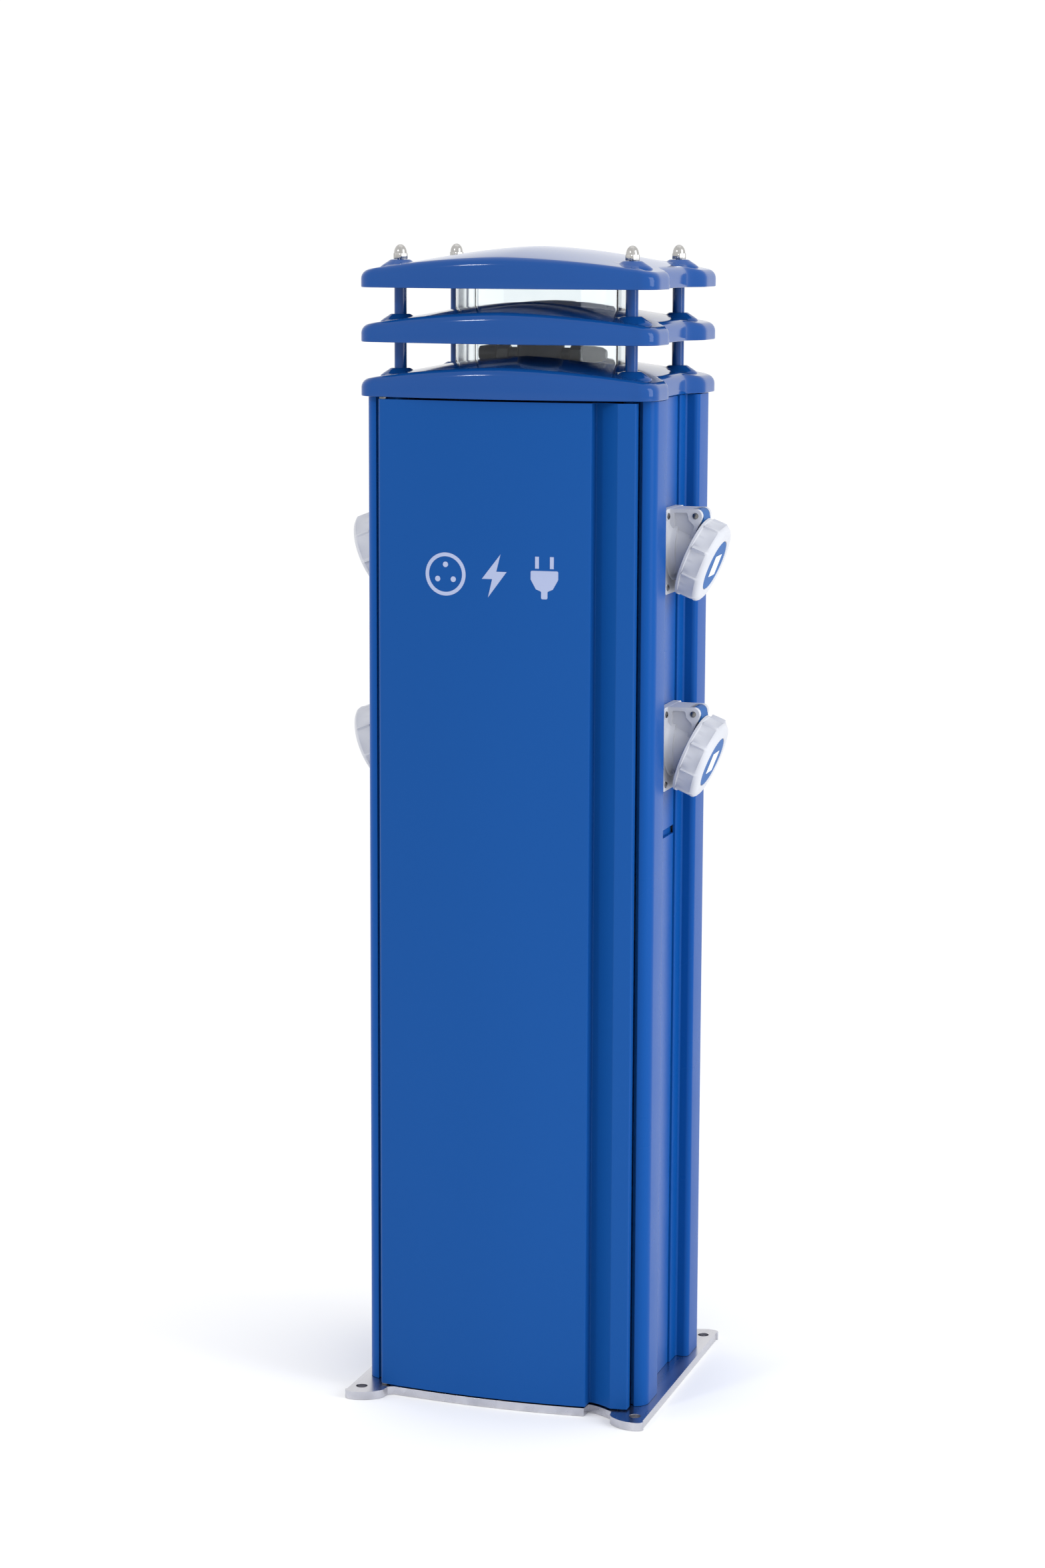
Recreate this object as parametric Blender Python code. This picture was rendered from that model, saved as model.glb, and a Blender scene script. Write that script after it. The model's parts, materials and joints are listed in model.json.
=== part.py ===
"""Roadside charging post: a louvred light head on an aluminium cabinet with four lidded side sockets.

The frame has its origin at the middle of the base plate's underside, X to the right of the door,
-Y out through the door and +Z up.
"""

import math

import bmesh
import bpy
from mathutils import Matrix, Vector

# Overall sizes, in metres.
GAP = 0.0003
BASE_THICKNESS = 0.008
BOLT_X = 0.1375
BOLT_Y = 0.1270
BOLT_RADIUS = 0.0055

# The cabinet: one shallow arc makes the front, and its mirror image makes the back.
FRONT_CROWN = 0.127
FRONT_RADIUS = 0.78
COLUMN_LOW = BASE_THICKNESS + GAP
COLUMN_HIGH = 0.9602
COLUMN_SIDE = 0.1405
COLUMN_EDGE = 0.1288
COLUMN_WALL = 0.003
COLUMN_SOLID_X = 0.1275
CORNER_CENTRE = (0.1265, -0.0880)
CORNER_RADIUS = 0.014
PORT_RADIUS = 0.0075
PANEL_FACE = 0.1255
PANEL_THICKNESS = 0.003
PANEL_HALF_WIDTH = 0.0328
PANEL_SEAM_LOW = 0.5405
PANEL_SEAM_HIGH = 0.5485
DOOR_LOW = 0.0096
DOOR_HIGH = 0.9590
DOOR_SKIN = 0.003
DOOR_RIGHT = 0.1265
DOOR_LIP_Y = -0.1065
COVER_LIP_Y = 0.0985
PANEL_EDGE = 0.0865
CHANNEL_Y = -0.1078
CHANNEL_CLIMB = 0.0110
RIB_EDGE = 0.1100
DOOR_PIVOT = (-0.1175, -0.1138)
PIVOT_BEAD = 0.0042
PIVOT_BORE = 0.0022

# The light head: three equal hats on four posts round a clear diffuser.
HAT_LOWS = (0.961, 1.011, 1.061)
HAT_SIDE = 0.1435
HAT_RECESS = 0.1305
HAT_CROWN = 0.132
HAT_FRONT_RADIUS = 0.508
HAT_LOBE = 0.018
HAT_LIP = 0.015
HAT_RISE = 0.023
HAT_WALL = 0.004
HAT_ROUND = 0.008
BOSS_LOW = 0.015
BOSS_HIGH = 0.0255
POST_X = 0.112
POST_Y = 0.081
POST_RADIUS = 0.00575
STUD_RADIUS = 0.0030
NUT_HEIGHT = 0.0135
DIFFUSER_HALF_X = 0.080
DIFFUSER_HALF_Y = 0.046
DIFFUSER_CHAMFER = 0.0292
DIFFUSER_LOW = 0.9835
DIFFUSER_HIGH = 1.0695
LAMP_SEAT = 1.0195

# The sockets: two on each side, each with a lid that hinges above its tilted mouth.
SOCKET_HEIGHTS = {"upper": 0.817, "lower": 0.630}
SOCKET_TURNS = {"right": 0.0, "left": math.pi}
SOCKET_PLANE = 0.128
MOUTH_TILT = math.radians(22.0)
MOUTH_CENTRE = (0.0435, 0.0, -0.0135)
LID_PIN_RADIAL = 0.0384
LID_PIN_AXIAL = -0.0308
LID_PIN_RADIUS = 0.0018
KNUCKLE_RADIUS = 0.0060
KNUCKLE_HALF_WIDTH = 0.0115
FLANGE_HALF_WIDTH = 0.032
FLANGE_HALF_HEIGHT = 0.040
FLANGE_FACE = 0.0055
FLANGE_BACK = PANEL_FACE - SOCKET_PLANE + GAP
CHEEK_HALF_WIDTH = 0.0180
CHEEK_CORNER = 0.0062
CHEEK_PLANE = LID_PIN_AXIAL + CHEEK_CORNER
TUBE_RADIUS = 0.0245
BORE_RADIUS = 0.0222
RING_RADIUS = 0.0395

# The distribution gear inside.
PLATE_Y = 0.045
RAIL_Z = 0.420
RAIL_HALF_LENGTH = 0.085
BREAKER_HALF_WIDTH = 0.0177
BREAKER_X = 0.0205
LEVER_Y = PLATE_Y - 0.0595
LEVER_RADIUS = 0.0050

# Turns a section drawn in X and Y so that it runs along Y, with its own Y upright.
ALONG_Y = Matrix.Rotation(math.radians(90.0), 4, "X")
# Turns a section drawn in X and Y so that it runs along X, its X lying along Y and its Y upright.
ALONG_X = Matrix(((0, 0, 1, 0), (1, 0, 0, 0), (0, 1, 0, 0), (0, 0, 0, 1)))
# The mouth's frame: Z runs out along the plug's way in, and -X points up the mouth's face.
MOUTH = Matrix.Translation(MOUTH_CENTRE) @ Matrix.Rotation(math.pi / 2 + MOUTH_TILT, 4, "Y")
LID_PIN = MOUTH @ Vector((-LID_PIN_RADIAL, 0.0, LID_PIN_AXIAL))


# ---------------------------------------------------------------- materials

def make_material(name, colour, roughness, metallic=0.0, transmission=0.0):
    """A Principled material from a linear colour."""
    material = bpy.data.materials.new(name)
    material.use_nodes = True
    shader = material.node_tree.nodes["Principled BSDF"]
    shader.inputs["Base Color"].default_value = (*colour, 1.0)
    shader.inputs["Roughness"].default_value = roughness
    shader.inputs["Metallic"].default_value = metallic
    shader.inputs["Transmission Weight"].default_value = transmission
    return material


def make_materials():
    return {
        "blue_coat": make_material("blue_coat", (0.010, 0.105, 0.420), 0.35),
        "blue_gloss": make_material("blue_gloss", (0.008, 0.085, 0.400), 0.15),
        "blue_plastic": make_material("blue_plastic", (0.075, 0.200, 0.530), 0.35),
        "pale_plastic": make_material("pale_plastic", (0.700, 0.710, 0.750), 0.40),
        "dark_plastic": make_material("dark_plastic", (0.030, 0.030, 0.035), 0.50),
        "white_plastic": make_material("white_plastic", (0.800, 0.800, 0.780), 0.45),
        "bare_aluminium": make_material("bare_aluminium", (0.560, 0.560, 0.600), 0.40, 1.0),
        "stainless": make_material("stainless", (0.600, 0.590, 0.570), 0.20, 1.0),
        "galvanised": make_material("galvanised", (0.500, 0.510, 0.520), 0.50, 1.0),
        "clear": make_material("clear", (0.930, 0.950, 0.960), 0.08, 0.0, 0.9),
    }


# ---------------------------------------------------------------- shape helpers

def arc(centre_x, centre_y, radius, start, end, steps):
    """Points along a circular arc whose angles are in degrees."""
    points = []
    for step in range(steps + 1):
        angle = math.radians(start + (end - start) * step / steps)
        points.append((centre_x + radius * math.cos(angle), centre_y + radius * math.sin(angle)))
    return points


def circle(centre_x, centre_y, radius, steps):
    return arc(centre_x, centre_y, radius, 0.0, 360.0, steps)[:-1]


def rectangle(half_x, half_y, corner, steps=3):
    """A rectangle about the origin with rounded corners."""
    points = []
    for start, sign_x, sign_y in ((0, 1, 1), (90, -1, 1), (180, -1, -1), (270, 1, -1)):
        centre = (sign_x * (half_x - corner), sign_y * (half_y - corner))
        points += arc(*centre, corner, start, start + 90, steps)
    return points


def chamfered(half_x, half_y, chamfer):
    """An upright rectangle with its four corners cut off at 45 degrees."""
    quarter = ((half_x, half_y - chamfer), (half_x - chamfer, half_y))
    points = list(quarter)
    points += [(-x, y) for x, y in reversed(quarter)]
    points += [(-x, -y) for x, y in quarter]
    points += [(x, -y) for x, y in reversed(quarter)]
    return points


def mirrored(points, sign_x, sign_y):
    return [(sign_x * x, sign_y * y) for x, y in points]


def whole_outline(quarter):
    """Mirror a quarter outline, from the X axis to the Y axis, into a whole loop."""
    upper = quarter + [(-x, y) for x, y in reversed(quarter[:-1])]
    return upper + [(x, -y) for x, y in reversed(upper[1:-1])]


def extruded(loops, low, high, turn=Matrix()):
    """A solid from an outline and its holes, between two heights."""
    solid = bmesh.new()
    caps = ([], [])
    for loop in loops:
        rings = [[solid.verts.new((x, y, height)) for x, y in loop] for height in (low, high)]
        for index in range(len(loop)):
            corners = (rings[0][index - 1], rings[0][index], rings[1][index], rings[1][index - 1])
            solid.faces.new(corners)
            for cap, ring in zip(caps, rings):
                cap.append(solid.edges.get((ring[index - 1], ring[index])))
    for cap in caps:
        bmesh.ops.triangle_fill(solid, use_beauty=True, edges=cap)
    bmesh.ops.recalc_face_normals(solid, faces=solid.faces)
    solid.transform(turn)
    return solid


def lofted(rings, closed=False, turn=Matrix()):
    """A solid through rings of equal count: a loop of rings, or a stack with its ends filled."""
    solid = bmesh.new()
    rows = [[solid.verts.new(point) for point in ring] for ring in rings]
    pairs = list(zip(rows, rows[1:]))
    if closed:
        pairs.append((rows[-1], rows[0]))
    for row, following in pairs:
        for index in range(len(row)):
            solid.faces.new((row[index - 1], row[index], following[index], following[index - 1]))
    if not closed:
        for row in (rows[0], rows[-1]):
            middle = sum((vert.co for vert in row), Vector()) / len(row)
            tip = solid.verts.new(middle)
            for index in range(len(row)):
                solid.faces.new((row[index - 1], row[index], tip))
    bmesh.ops.recalc_face_normals(solid, faces=solid.faces)
    solid.transform(turn)
    return solid


def turned(profile, sides, closed=False, turn=Matrix()):
    """A solid of revolution about Z from (radius, height) points."""
    rings = [[(x, y, height) for x, y in circle(0, 0, radius, sides)] for radius, height in profile]
    return lofted(rings, closed, turn)


def bar(start, end, radius, sides):
    """A plain cylinder between two points."""
    start, end = Vector(start), Vector(end)
    turn = Matrix.Translation(start) @ (end - start).to_track_quat("Z", "Y").to_matrix().to_4x4()
    return turned([(radius, 0.0), (radius, (end - start).length)], sides, turn=turn)


def make_object(name, solid):
    """A linked object holding a copy of the solid, which is used up."""
    mesh = bpy.data.meshes.new(name)
    solid.to_mesh(mesh)
    solid.free()
    item = bpy.data.objects.new(name, mesh)
    bpy.context.scene.collection.objects.link(item)
    return item


def combined(body, tool, operation):
    """Join two solids with UNION, or cut the tool from the body with DIFFERENCE."""
    target = make_object("target", body)
    cutter = make_object("cutter", tool)
    modifier = target.modifiers.new("Boolean", "BOOLEAN")
    modifier.operation = operation
    modifier.solver = "EXACT"
    modifier.object = cutter
    bpy.context.view_layer.update()
    result = bmesh.new()
    result.from_object(target, bpy.context.evaluated_depsgraph_get())
    for item in (target, cutter):
        mesh = item.data
        bpy.data.objects.remove(item)
        bpy.data.meshes.remove(mesh)
    return result


def joined(body, *tools):
    for tool in tools:
        body = combined(body, tool, "UNION")
    return body


def cut(body, *tools):
    for tool in tools:
        body = combined(body, tool, "DIFFERENCE")
    return body


def add_part(name, solid, material, origin=(0.0, 0.0, 0.0), place=Matrix()):
    """Add a named piece whose own origin is at a chosen point of the solid's frame."""
    solid.transform(Matrix.Translation(-Vector(origin)))
    item = make_object(name, solid)
    item.data.materials.append(material)
    item.data.shade_smooth()
    item.data.set_sharp_from_angle(angle=math.radians(30.0))
    item.matrix_world = place @ Matrix.Translation(origin)
    return item


# ---------------------------------------------------------------- base and cabinet

def front_y(x):
    """The front face's shallow arc."""
    return -FRONT_CROWN + x * x / (2.0 * FRONT_RADIUS)


def channel_y(x):
    """The floor of the grip channel, which climbs from the panel's edge to the rib."""
    share = (x - PANEL_EDGE) / (RIB_EDGE - PANEL_EDGE)
    return CHANNEL_Y - CHANNEL_CLIMB * share ** 1.6


def steps_between(start, end, count):
    return [start + (end - start) * step / count for step in range(count + 1)]


def base_half(is_channel_side):
    """The plate's front edge from the middle line out to one ear's outer side."""
    edge = [(x, front_y(x) + 0.0004) for x in steps_between(0.0, PANEL_EDGE - 0.001, 5)]
    if is_channel_side:
        edge += [(x, channel_y(x) - 0.0018) for x in steps_between(PANEL_EDGE, RIB_EDGE, 4)]
    else:
        edge += [(0.094, front_y(0.094)), (0.1070, front_y(0.1070))]
    neck = [(0.1122, -0.1222), (0.1132, -0.1250), (0.1138, -0.1310)]
    ear = [(0.1165, -0.1355), (0.1210, -0.1394), (0.1270, -0.1432), (0.1330, -0.1450)]
    corner = [(0.1385, -0.1460), (0.1445, -0.1456), (0.1485, -0.1435), (0.1500, -0.1395)]
    return edge + neck + ear + corner


def base_plate():
    """The floor plate: four bolt ears, and a window for the supply cable."""
    right = base_half(True)
    left = base_half(False)
    front = [(-x, y) for x, y in reversed(left)] + right[1:]
    outline = front + [(x, -y) for x, y in reversed(front)]
    window = rectangle(0.075, 0.050, 0.010)
    bolts = [circle(sx * BOLT_X, sy * BOLT_Y, BOLT_RADIUS, 14) for sx in (-1, 1) for sy in (-1, 1)]
    return extruded([outline, window, *bolts], 0.0, BASE_THICKNESS)


def column_loops():
    """The front right corner profile: an outer tube, a rebate for the panel and a screw port."""
    inner = PANEL_FACE - 0.001
    corner_x, corner_y = CORNER_CENTRE
    round_x, round_y, rear_round = COLUMN_SIDE - 0.0055, -0.0605, 0.0055
    first = -math.degrees(math.acos((COLUMN_EDGE - corner_x) / CORNER_RADIUS))
    outer = [(COLUMN_EDGE, corner_y - 0.008)]
    outer += arc(corner_x, corner_y, CORNER_RADIUS, first, 0, 6)
    outer += arc(round_x, round_y, rear_round, 0, 90, 3)
    outer += [(COLUMN_SOLID_X + 0.0015, -0.0550), (COLUMN_SOLID_X, -0.0535)]
    outer += [(COLUMN_SOLID_X, -0.0335), (inner, -0.0335), (inner, -POST_Y + 0.0015)]
    outer += arc(POST_X, -POST_Y, PORT_RADIUS, 11.5, 348.5, 12)
    outer += [(inner, -POST_Y - 0.0015), (inner, corner_y - 0.008)]
    hollow = CORNER_RADIUS - COLUMN_WALL
    last = -math.degrees(math.acos((COLUMN_SOLID_X - corner_x) / hollow))
    chamber = [(COLUMN_SOLID_X, -0.0585), (COLUMN_SIDE - COLUMN_WALL, -0.0585)]
    chamber += arc(corner_x, corner_y, hollow, 0, last, 4)
    port = circle(POST_X, -POST_Y, STUD_RADIUS + GAP, 12)
    return [outer, chamber, port]


def door_loops():
    """The door's profile: hinge bead, wide bowed panel, grip channel and closing rib."""
    pivot_x, pivot_y = DOOR_PIVOT
    inner = DOOR_RIGHT - DOOR_SKIN
    bead = arc(pivot_x, pivot_y, PIVOT_BEAD, 0, 270, 10)
    panel = [(x, front_y(x)) for x in steps_between(pivot_x + 0.0052, PANEL_EDGE, 12)]
    channel = [(x, channel_y(x)) for x in steps_between(PANEL_EDGE + 0.0003, RIB_EDGE - 0.0008, 6)]
    rib = [(x, front_y(x)) for x in steps_between(RIB_EDGE, DOOR_RIGHT, 3)]
    lip = [(DOOR_RIGHT, DOOR_LIP_Y), (inner, DOOR_LIP_Y)]
    rib_back = [(x, front_y(x) + DOOR_SKIN) for x in (inner, RIB_EDGE + 0.0015)]
    channel_back = [(x, channel_y(x) + DOOR_SKIN) for x in steps_between(RIB_EDGE, PANEL_EDGE, 6)]
    wall = [(PANEL_EDGE - DOOR_SKIN, CHANNEL_Y + DOOR_SKIN)]
    xs = steps_between(PANEL_EDGE - DOOR_SKIN, pivot_x + 0.0062, 12)
    panel_back = [(x, front_y(x) + DOOR_SKIN) for x in xs]
    outline = bead + panel + channel + rib + lip + rib_back + channel_back + wall + panel_back
    return [outline, circle(pivot_x, pivot_y, PIVOT_BORE, 10)]


def rear_cover_loops():
    """The plain bowed back sheet, with a return along each side."""
    inner = DOOR_RIGHT - DOOR_SKIN
    outside = [(x, -front_y(x)) for x in steps_between(DOOR_RIGHT, -DOOR_RIGHT, 16)]
    inside = [(x, -front_y(x) - DOOR_SKIN) for x in steps_between(-inner, inner, 16)]
    left = [(-DOOR_RIGHT, COVER_LIP_Y), (-inner, COVER_LIP_Y)]
    right = [(inner, COVER_LIP_Y), (DOOR_RIGHT, COVER_LIP_Y)]
    return [outside + left + inside + right]


def add_cabinet(finish):
    add_part("base_plate", base_plate(), finish["bare_aluminium"])
    corners = {"front_right": (1, 1), "front_left": (-1, 1), "rear_right": (1, -1), "rear_left": (-1, -1)}
    for corner, signs in corners.items():
        loops = [mirrored(loop, *signs) for loop in column_loops()]
        add_part(f"column_{corner}", extruded(loops, COLUMN_LOW, COLUMN_HIGH), finish["blue_coat"])
    door = extruded(door_loops(), DOOR_LOW, DOOR_HIGH)
    add_part("front_door", door, finish["blue_coat"], origin=(*DOOR_PIVOT, 0.0))
    rear = extruded(rear_cover_loops(), DOOR_LOW, DOOR_HIGH)
    add_part("rear_cover", rear, finish["blue_coat"])
    add_door_fittings(finish)
    for side, turn in SOCKET_TURNS.items():
        add_side_panels(side, Matrix.Rotation(turn, 4, "Z"), finish)


def add_door_fittings(finish):
    """Two pivot pins, in the floor plate and under the lowest hat, and the magnet catch."""
    pin, collar, reach = 0.0018, 0.0036, 0.024
    lower = [(collar, COLUMN_LOW), (collar, DOOR_LOW - GAP), (pin, DOOR_LOW - GAP)]
    lower += [(pin, DOOR_LOW + reach)]
    upper = [(pin, DOOR_HIGH - reach), (pin, DOOR_HIGH + GAP), (collar, DOOR_HIGH + GAP)]
    upper += [(collar, HAT_LOWS[0] - GAP)]
    for name, profile in (("door_pin_lower", lower), ("door_pin_upper", upper)):
        place = Matrix.Translation((*DOOR_PIVOT, 0.0))
        add_part(name, turned(profile, 12), finish["stainless"], place=place)
    magnet = extruded([rectangle(0.0100, 0.0080, 0.0015)], 0.460, 0.520)
    place = Matrix.Translation((0.1141, -0.0982, 0.0))
    add_part("door_catch", magnet, finish["dark_plastic"], place=place)


def add_side_panels(side, place, finish):
    """The recessed flat between the columns: socket panel, blank panel and the joint behind them."""
    inner = PANEL_FACE - PANEL_THICKNESS
    half = PANEL_HALF_WIDTH
    spans = {
        "socket_panel": (PANEL_SEAM_HIGH, COLUMN_HIGH - 0.0005),
        "blank_panel": (COLUMN_LOW, PANEL_SEAM_LOW),
    }
    for name, (low, high) in spans.items():
        loops = [[(-half, low), (half, low), (half, high), (-half, high)]]
        if name == "socket_panel":
            loops += [circle(0.0, height + 0.0057, 0.0278, 24) for height in SOCKET_HEIGHTS.values()]
        solid = extruded(loops, inner, PANEL_FACE, ALONG_X)
        add_part(f"{name}_{side}", solid, finish["blue_coat"], place=place)
    middle = (PANEL_SEAM_LOW + PANEL_SEAM_HIGH) / 2.0
    strip = extruded([rectangle(0.0355, 0.0150, 0.002)], inner - GAP - 0.003, inner - GAP, ALONG_X)
    place = place @ Matrix.Translation((0.0, 0.0, middle))
    add_part(f"panel_joint_{side}", strip, finish["blue_coat"], place=place)


# ---------------------------------------------------------------- light head

def hat_height(x, y):
    """The hat's domed top above its lower edge, highest in the middle."""
    across = 1.0 - min(abs(x) / HAT_SIDE, 1.0) ** 1.6
    along = 1.0 - 0.45 * (y / HAT_CROWN) ** 2
    return HAT_LIP + HAT_RISE * across * along


def opening_half_sizes():
    """Half width, half depth and chamfer of the hats' window for the diffuser."""
    clearance = 0.001
    return DIFFUSER_HALF_X + clearance, DIFFUSER_HALF_Y + clearance, DIFFUSER_CHAMFER + 0.0004


def hat_quarter():
    """A quarter of the hat's plan: recessed side, S curve, corner lobe and bowed front."""
    half_x, half_y, chamfer = opening_half_sizes()
    quarter = [(HAT_RECESS, 0.0), (HAT_RECESS, HAT_RECESS * (half_y - chamfer) / half_x)]
    sweep_low, sweep_high = 0.040, 0.068
    for share in steps_between(0.0, 1.0, 3):
        ease = share * share * (3.0 - 2.0 * share)
        y = sweep_low + (sweep_high - sweep_low) * share
        quarter.append((HAT_RECESS + (HAT_SIDE - HAT_RECESS) * ease, y))
    lobe_x = HAT_SIDE - HAT_LOBE
    lobe_y = HAT_CROWN - lobe_x ** 2 / (2.0 * HAT_FRONT_RADIUS) - HAT_LOBE
    quarter += arc(lobe_x, lobe_y, HAT_LOBE, 0, 90, 3)
    quarter += [(x, HAT_CROWN - x * x / (2.0 * HAT_FRONT_RADIUS)) for x in (0.090, 0.045, 0.0)]
    return quarter


def inset(point, distance):
    """Move a plan point straight towards the middle."""
    x, y = point
    share = 1.0 - distance / math.hypot(x, y)
    return x * share, y * share


def window_point(point):
    """Where the line from the middle to a plan point crosses the diffuser's window."""
    half_x, half_y, chamfer = opening_half_sizes()
    x, y = abs(point[0]), abs(point[1])
    reach = min(
        half_x / max(x, 1e-6),
        half_y / max(y, 1e-6),
        (half_x + half_y - chamfer) / (x + y),
    )
    return point[0] * reach, point[1] * reach


def between(first, second, share):
    return first[0] + (second[0] - first[0]) * share, first[1] + (second[1] - first[1]) * share


def dome_ring(points, drop):
    return [(x, y, hat_height(x, y) - drop) for x, y in points]


def hat_shell(has_window):
    """The cast hat before its bosses and holes."""
    outline = whole_outline(hat_quarter())
    soft = HAT_ROUND * (1.0 - math.sqrt(0.5))
    shoulder = [inset(point, HAT_ROUND) for point in outline]
    if has_window:
        middle = [window_point(point) for point in outline]
    else:
        middle = [between((0.0, 0.0), point, 0.15) for point in outline]
    halfway = [between(first, second, 0.5) for first, second in zip(shoulder, middle)]
    inside = [inset(point, HAT_WALL) for point in outline]
    inside_shoulder = [inset(point, HAT_WALL + HAT_ROUND) for point in outline]
    outer = [
        [(x, y, 0.0) for x, y in outline],
        [(x, y, hat_height(x, y) - soft * 2.0) for x, y in outline],
        [(*inset(point, soft), hat_height(*point) - soft * 0.5) for point in outline],
        dome_ring(halfway, 0.0),
        dome_ring(middle, 0.0),
    ]
    inner = [
        dome_ring(middle, HAT_WALL),
        dome_ring(inside_shoulder, HAT_WALL),
        [(x, y, hat_height(x, y) - HAT_ROUND - HAT_WALL) for x, y in inside],
        [(x, y, 0.0) for x, y in inside],
    ]
    shell = lofted(outer + inner, closed=True) if has_window else lofted(inner + outer)
    bmesh.ops.triangulate(shell, faces=shell.faces)
    return shell


def make_hat(has_window):
    """A hat with a boss round each post, and the posts' holes."""
    hole = POST_RADIUS + 0.0004 if has_window else STUD_RADIUS + GAP
    solid = hat_shell(has_window)
    for sign_x in (-1, 1):
        for sign_y in (-1, 1):
            place = Matrix.Translation((sign_x * POST_X, sign_y * POST_Y, 0.0))
            boss = turned([(0.0155, BOSS_LOW), (0.0085, BOSS_HIGH)], 16, turn=place)
            drill = turned([(hole, -0.01), (hole, 0.05)], 12, turn=place)
            solid = cut(joined(solid, boss), drill)
    return solid


def hexagon_ring(flat, height, count):
    """A hexagon of a given half width across flats, sampled so that it can meet a circle."""
    points = []
    for index in range(count):
        angle = 2.0 * math.pi * index / count
        off_flat = (angle + math.pi / 6.0) % (math.pi / 3.0) - math.pi / 6.0
        radius = flat / math.cos(off_flat)
        points.append((radius * math.cos(angle), radius * math.sin(angle), height))
    return points


def acorn_nut():
    """A domed hexagon nut with its blind thread hole."""
    count = 18
    flat, dome, thread = 0.0065, 0.0060, STUD_RADIUS + GAP
    hexagon_high = 0.0055
    dome_high = NUT_HEIGHT - hexagon_high

    def ring(radius, height):
        return [(x, y, height) for x, y in circle(0, 0, radius, count)]

    rings = [ring(thread, 0.0095), ring(thread, 0.0)]
    rings += [hexagon_ring(flat, 0.0, count), hexagon_ring(flat, hexagon_high, count)]
    for angle in (0, 30, 60):
        lift = math.radians(angle)
        rings.append(ring(dome * math.cos(lift), hexagon_high + dome_high * math.sin(lift)))
    rings.append(ring(dome * 0.12, NUT_HEIGHT))
    return lofted(rings)


def post():
    """A post: stud into the column's port, thick sleeve through two hats, stud through the top."""
    shoulder_low = COLUMN_HIGH + GAP
    shoulder_high = HAT_LOWS[2] + BOSS_LOW - GAP
    stud_high = HAT_LOWS[2] + BOSS_HIGH + 0.0088
    profile = [(STUD_RADIUS, 0.930), (STUD_RADIUS, shoulder_low), (POST_RADIUS, shoulder_low)]
    profile += [(POST_RADIUS, shoulder_high), (STUD_RADIUS, shoulder_high), (STUD_RADIUS, stud_high)]
    return turned(profile, 12)


def lamp_holder():
    """The lamp's base, with a cable gland out of each side."""
    foot = DIFFUSER_LOW
    body = turned([(0.027, foot), (0.027, foot + 0.006), (0.0225, foot + 0.009), (0.0225, LAMP_SEAT)], 16)
    middle = foot + 0.0150
    for sign in (-1, 1):
        gland = bar((sign * 0.015, 0, middle), (sign * 0.064, 0, middle), 0.0068, 10)
        nut = bar((sign * 0.030, 0, middle), (sign * 0.042, 0, middle), 0.0088, 6)
        body = joined(body, gland, nut)
    return body


def add_light_head(finish):
    hats = {"hat_lower": (0, True), "hat_middle": (1, True), "hat_upper": (2, False)}
    for name, (index, has_window) in hats.items():
        place = Matrix.Translation((0.0, 0.0, HAT_LOWS[index]))
        add_part(name, make_hat(has_window), finish["blue_gloss"], place=place)
    corners = {"front_right": (1, -1), "front_left": (-1, -1), "rear_right": (1, 1), "rear_left": (-1, 1)}
    for corner, (sign_x, sign_y) in corners.items():
        place = Matrix.Translation((sign_x * POST_X, sign_y * POST_Y, 0.0))
        add_part(f"post_{corner}", post(), finish["blue_gloss"], place=place)
        seat = place @ Matrix.Translation((0.0, 0.0, HAT_LOWS[2] + BOSS_HIGH + GAP))
        add_part(f"acorn_nut_{corner}", acorn_nut(), finish["stainless"], place=seat)
    shell = chamfered(DIFFUSER_HALF_X, DIFFUSER_HALF_Y, DIFFUSER_CHAMFER)
    hollow = chamfered(DIFFUSER_HALF_X - 0.003, DIFFUSER_HALF_Y - 0.003, DIFFUSER_CHAMFER - 0.0012)
    add_part("diffuser", extruded([shell, hollow], DIFFUSER_LOW, DIFFUSER_HIGH), finish["clear"])
    tray = extruded([chamfered(0.086, 0.052, 0.030)], DIFFUSER_LOW - 0.0033, DIFFUSER_LOW - GAP)
    add_part("lamp_tray", tray, finish["galvanised"])
    add_part("lamp_holder", lamp_holder(), finish["dark_plastic"])
    foot = LAMP_SEAT + GAP
    bulb = [(0.0195, foot), (0.0195, foot + 0.006), (0.0175, foot + 0.013)]
    bulb += [(0.0130, foot + 0.018), (0.0050, foot + 0.020)]
    add_part("lamp", turned(bulb, 16), finish["white_plastic"])


# ---------------------------------------------------------------- sockets

def slope_x(height, axial):
    """How far out a plane square to the mouth's axis stands at a given height."""
    out = axial + math.sin(MOUTH_TILT) * (height - MOUTH_CENTRE[2])
    return MOUTH_CENTRE[0] + out / math.cos(MOUTH_TILT)


def bracket_outline():
    """The hinge bracket's side view: flat top, round corner about the pin and sloping front."""
    back, top, bottom = 0.004, LID_PIN.z + CHEEK_CORNER, 0.0
    tilt = math.degrees(MOUTH_TILT)
    corner = arc(LID_PIN.x, LID_PIN.z, CHEEK_CORNER, 90, -tilt, 8)
    return [(back, bottom), (back, top)] + corner + [(slope_x(bottom, CHEEK_PLANE), bottom)]


def cheek_pocket(side):
    """The recess in a cheek, inside its raised rim."""
    rim, depth = 0.0040, 0.0030
    low, knee, back = 0.002, LID_PIN.z - 0.010, 0.0085
    high = LID_PIN.z + CHEEK_CORNER - rim
    neck = LID_PIN.x - CHEEK_CORNER - 0.0005
    plane = CHEEK_PLANE - rim
    outline = [(back, low), (slope_x(low, plane), low), (slope_x(knee, plane), knee)]
    outline += [(neck, LID_PIN.z - 0.002), (neck, high), (back, high)]
    near, far = CHEEK_HALF_WIDTH - depth, CHEEK_HALF_WIDTH + depth
    if side < 0:
        return extruded([outline], -far, -near, ALONG_Y)
    return extruded([outline], near, far, ALONG_Y)


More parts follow.
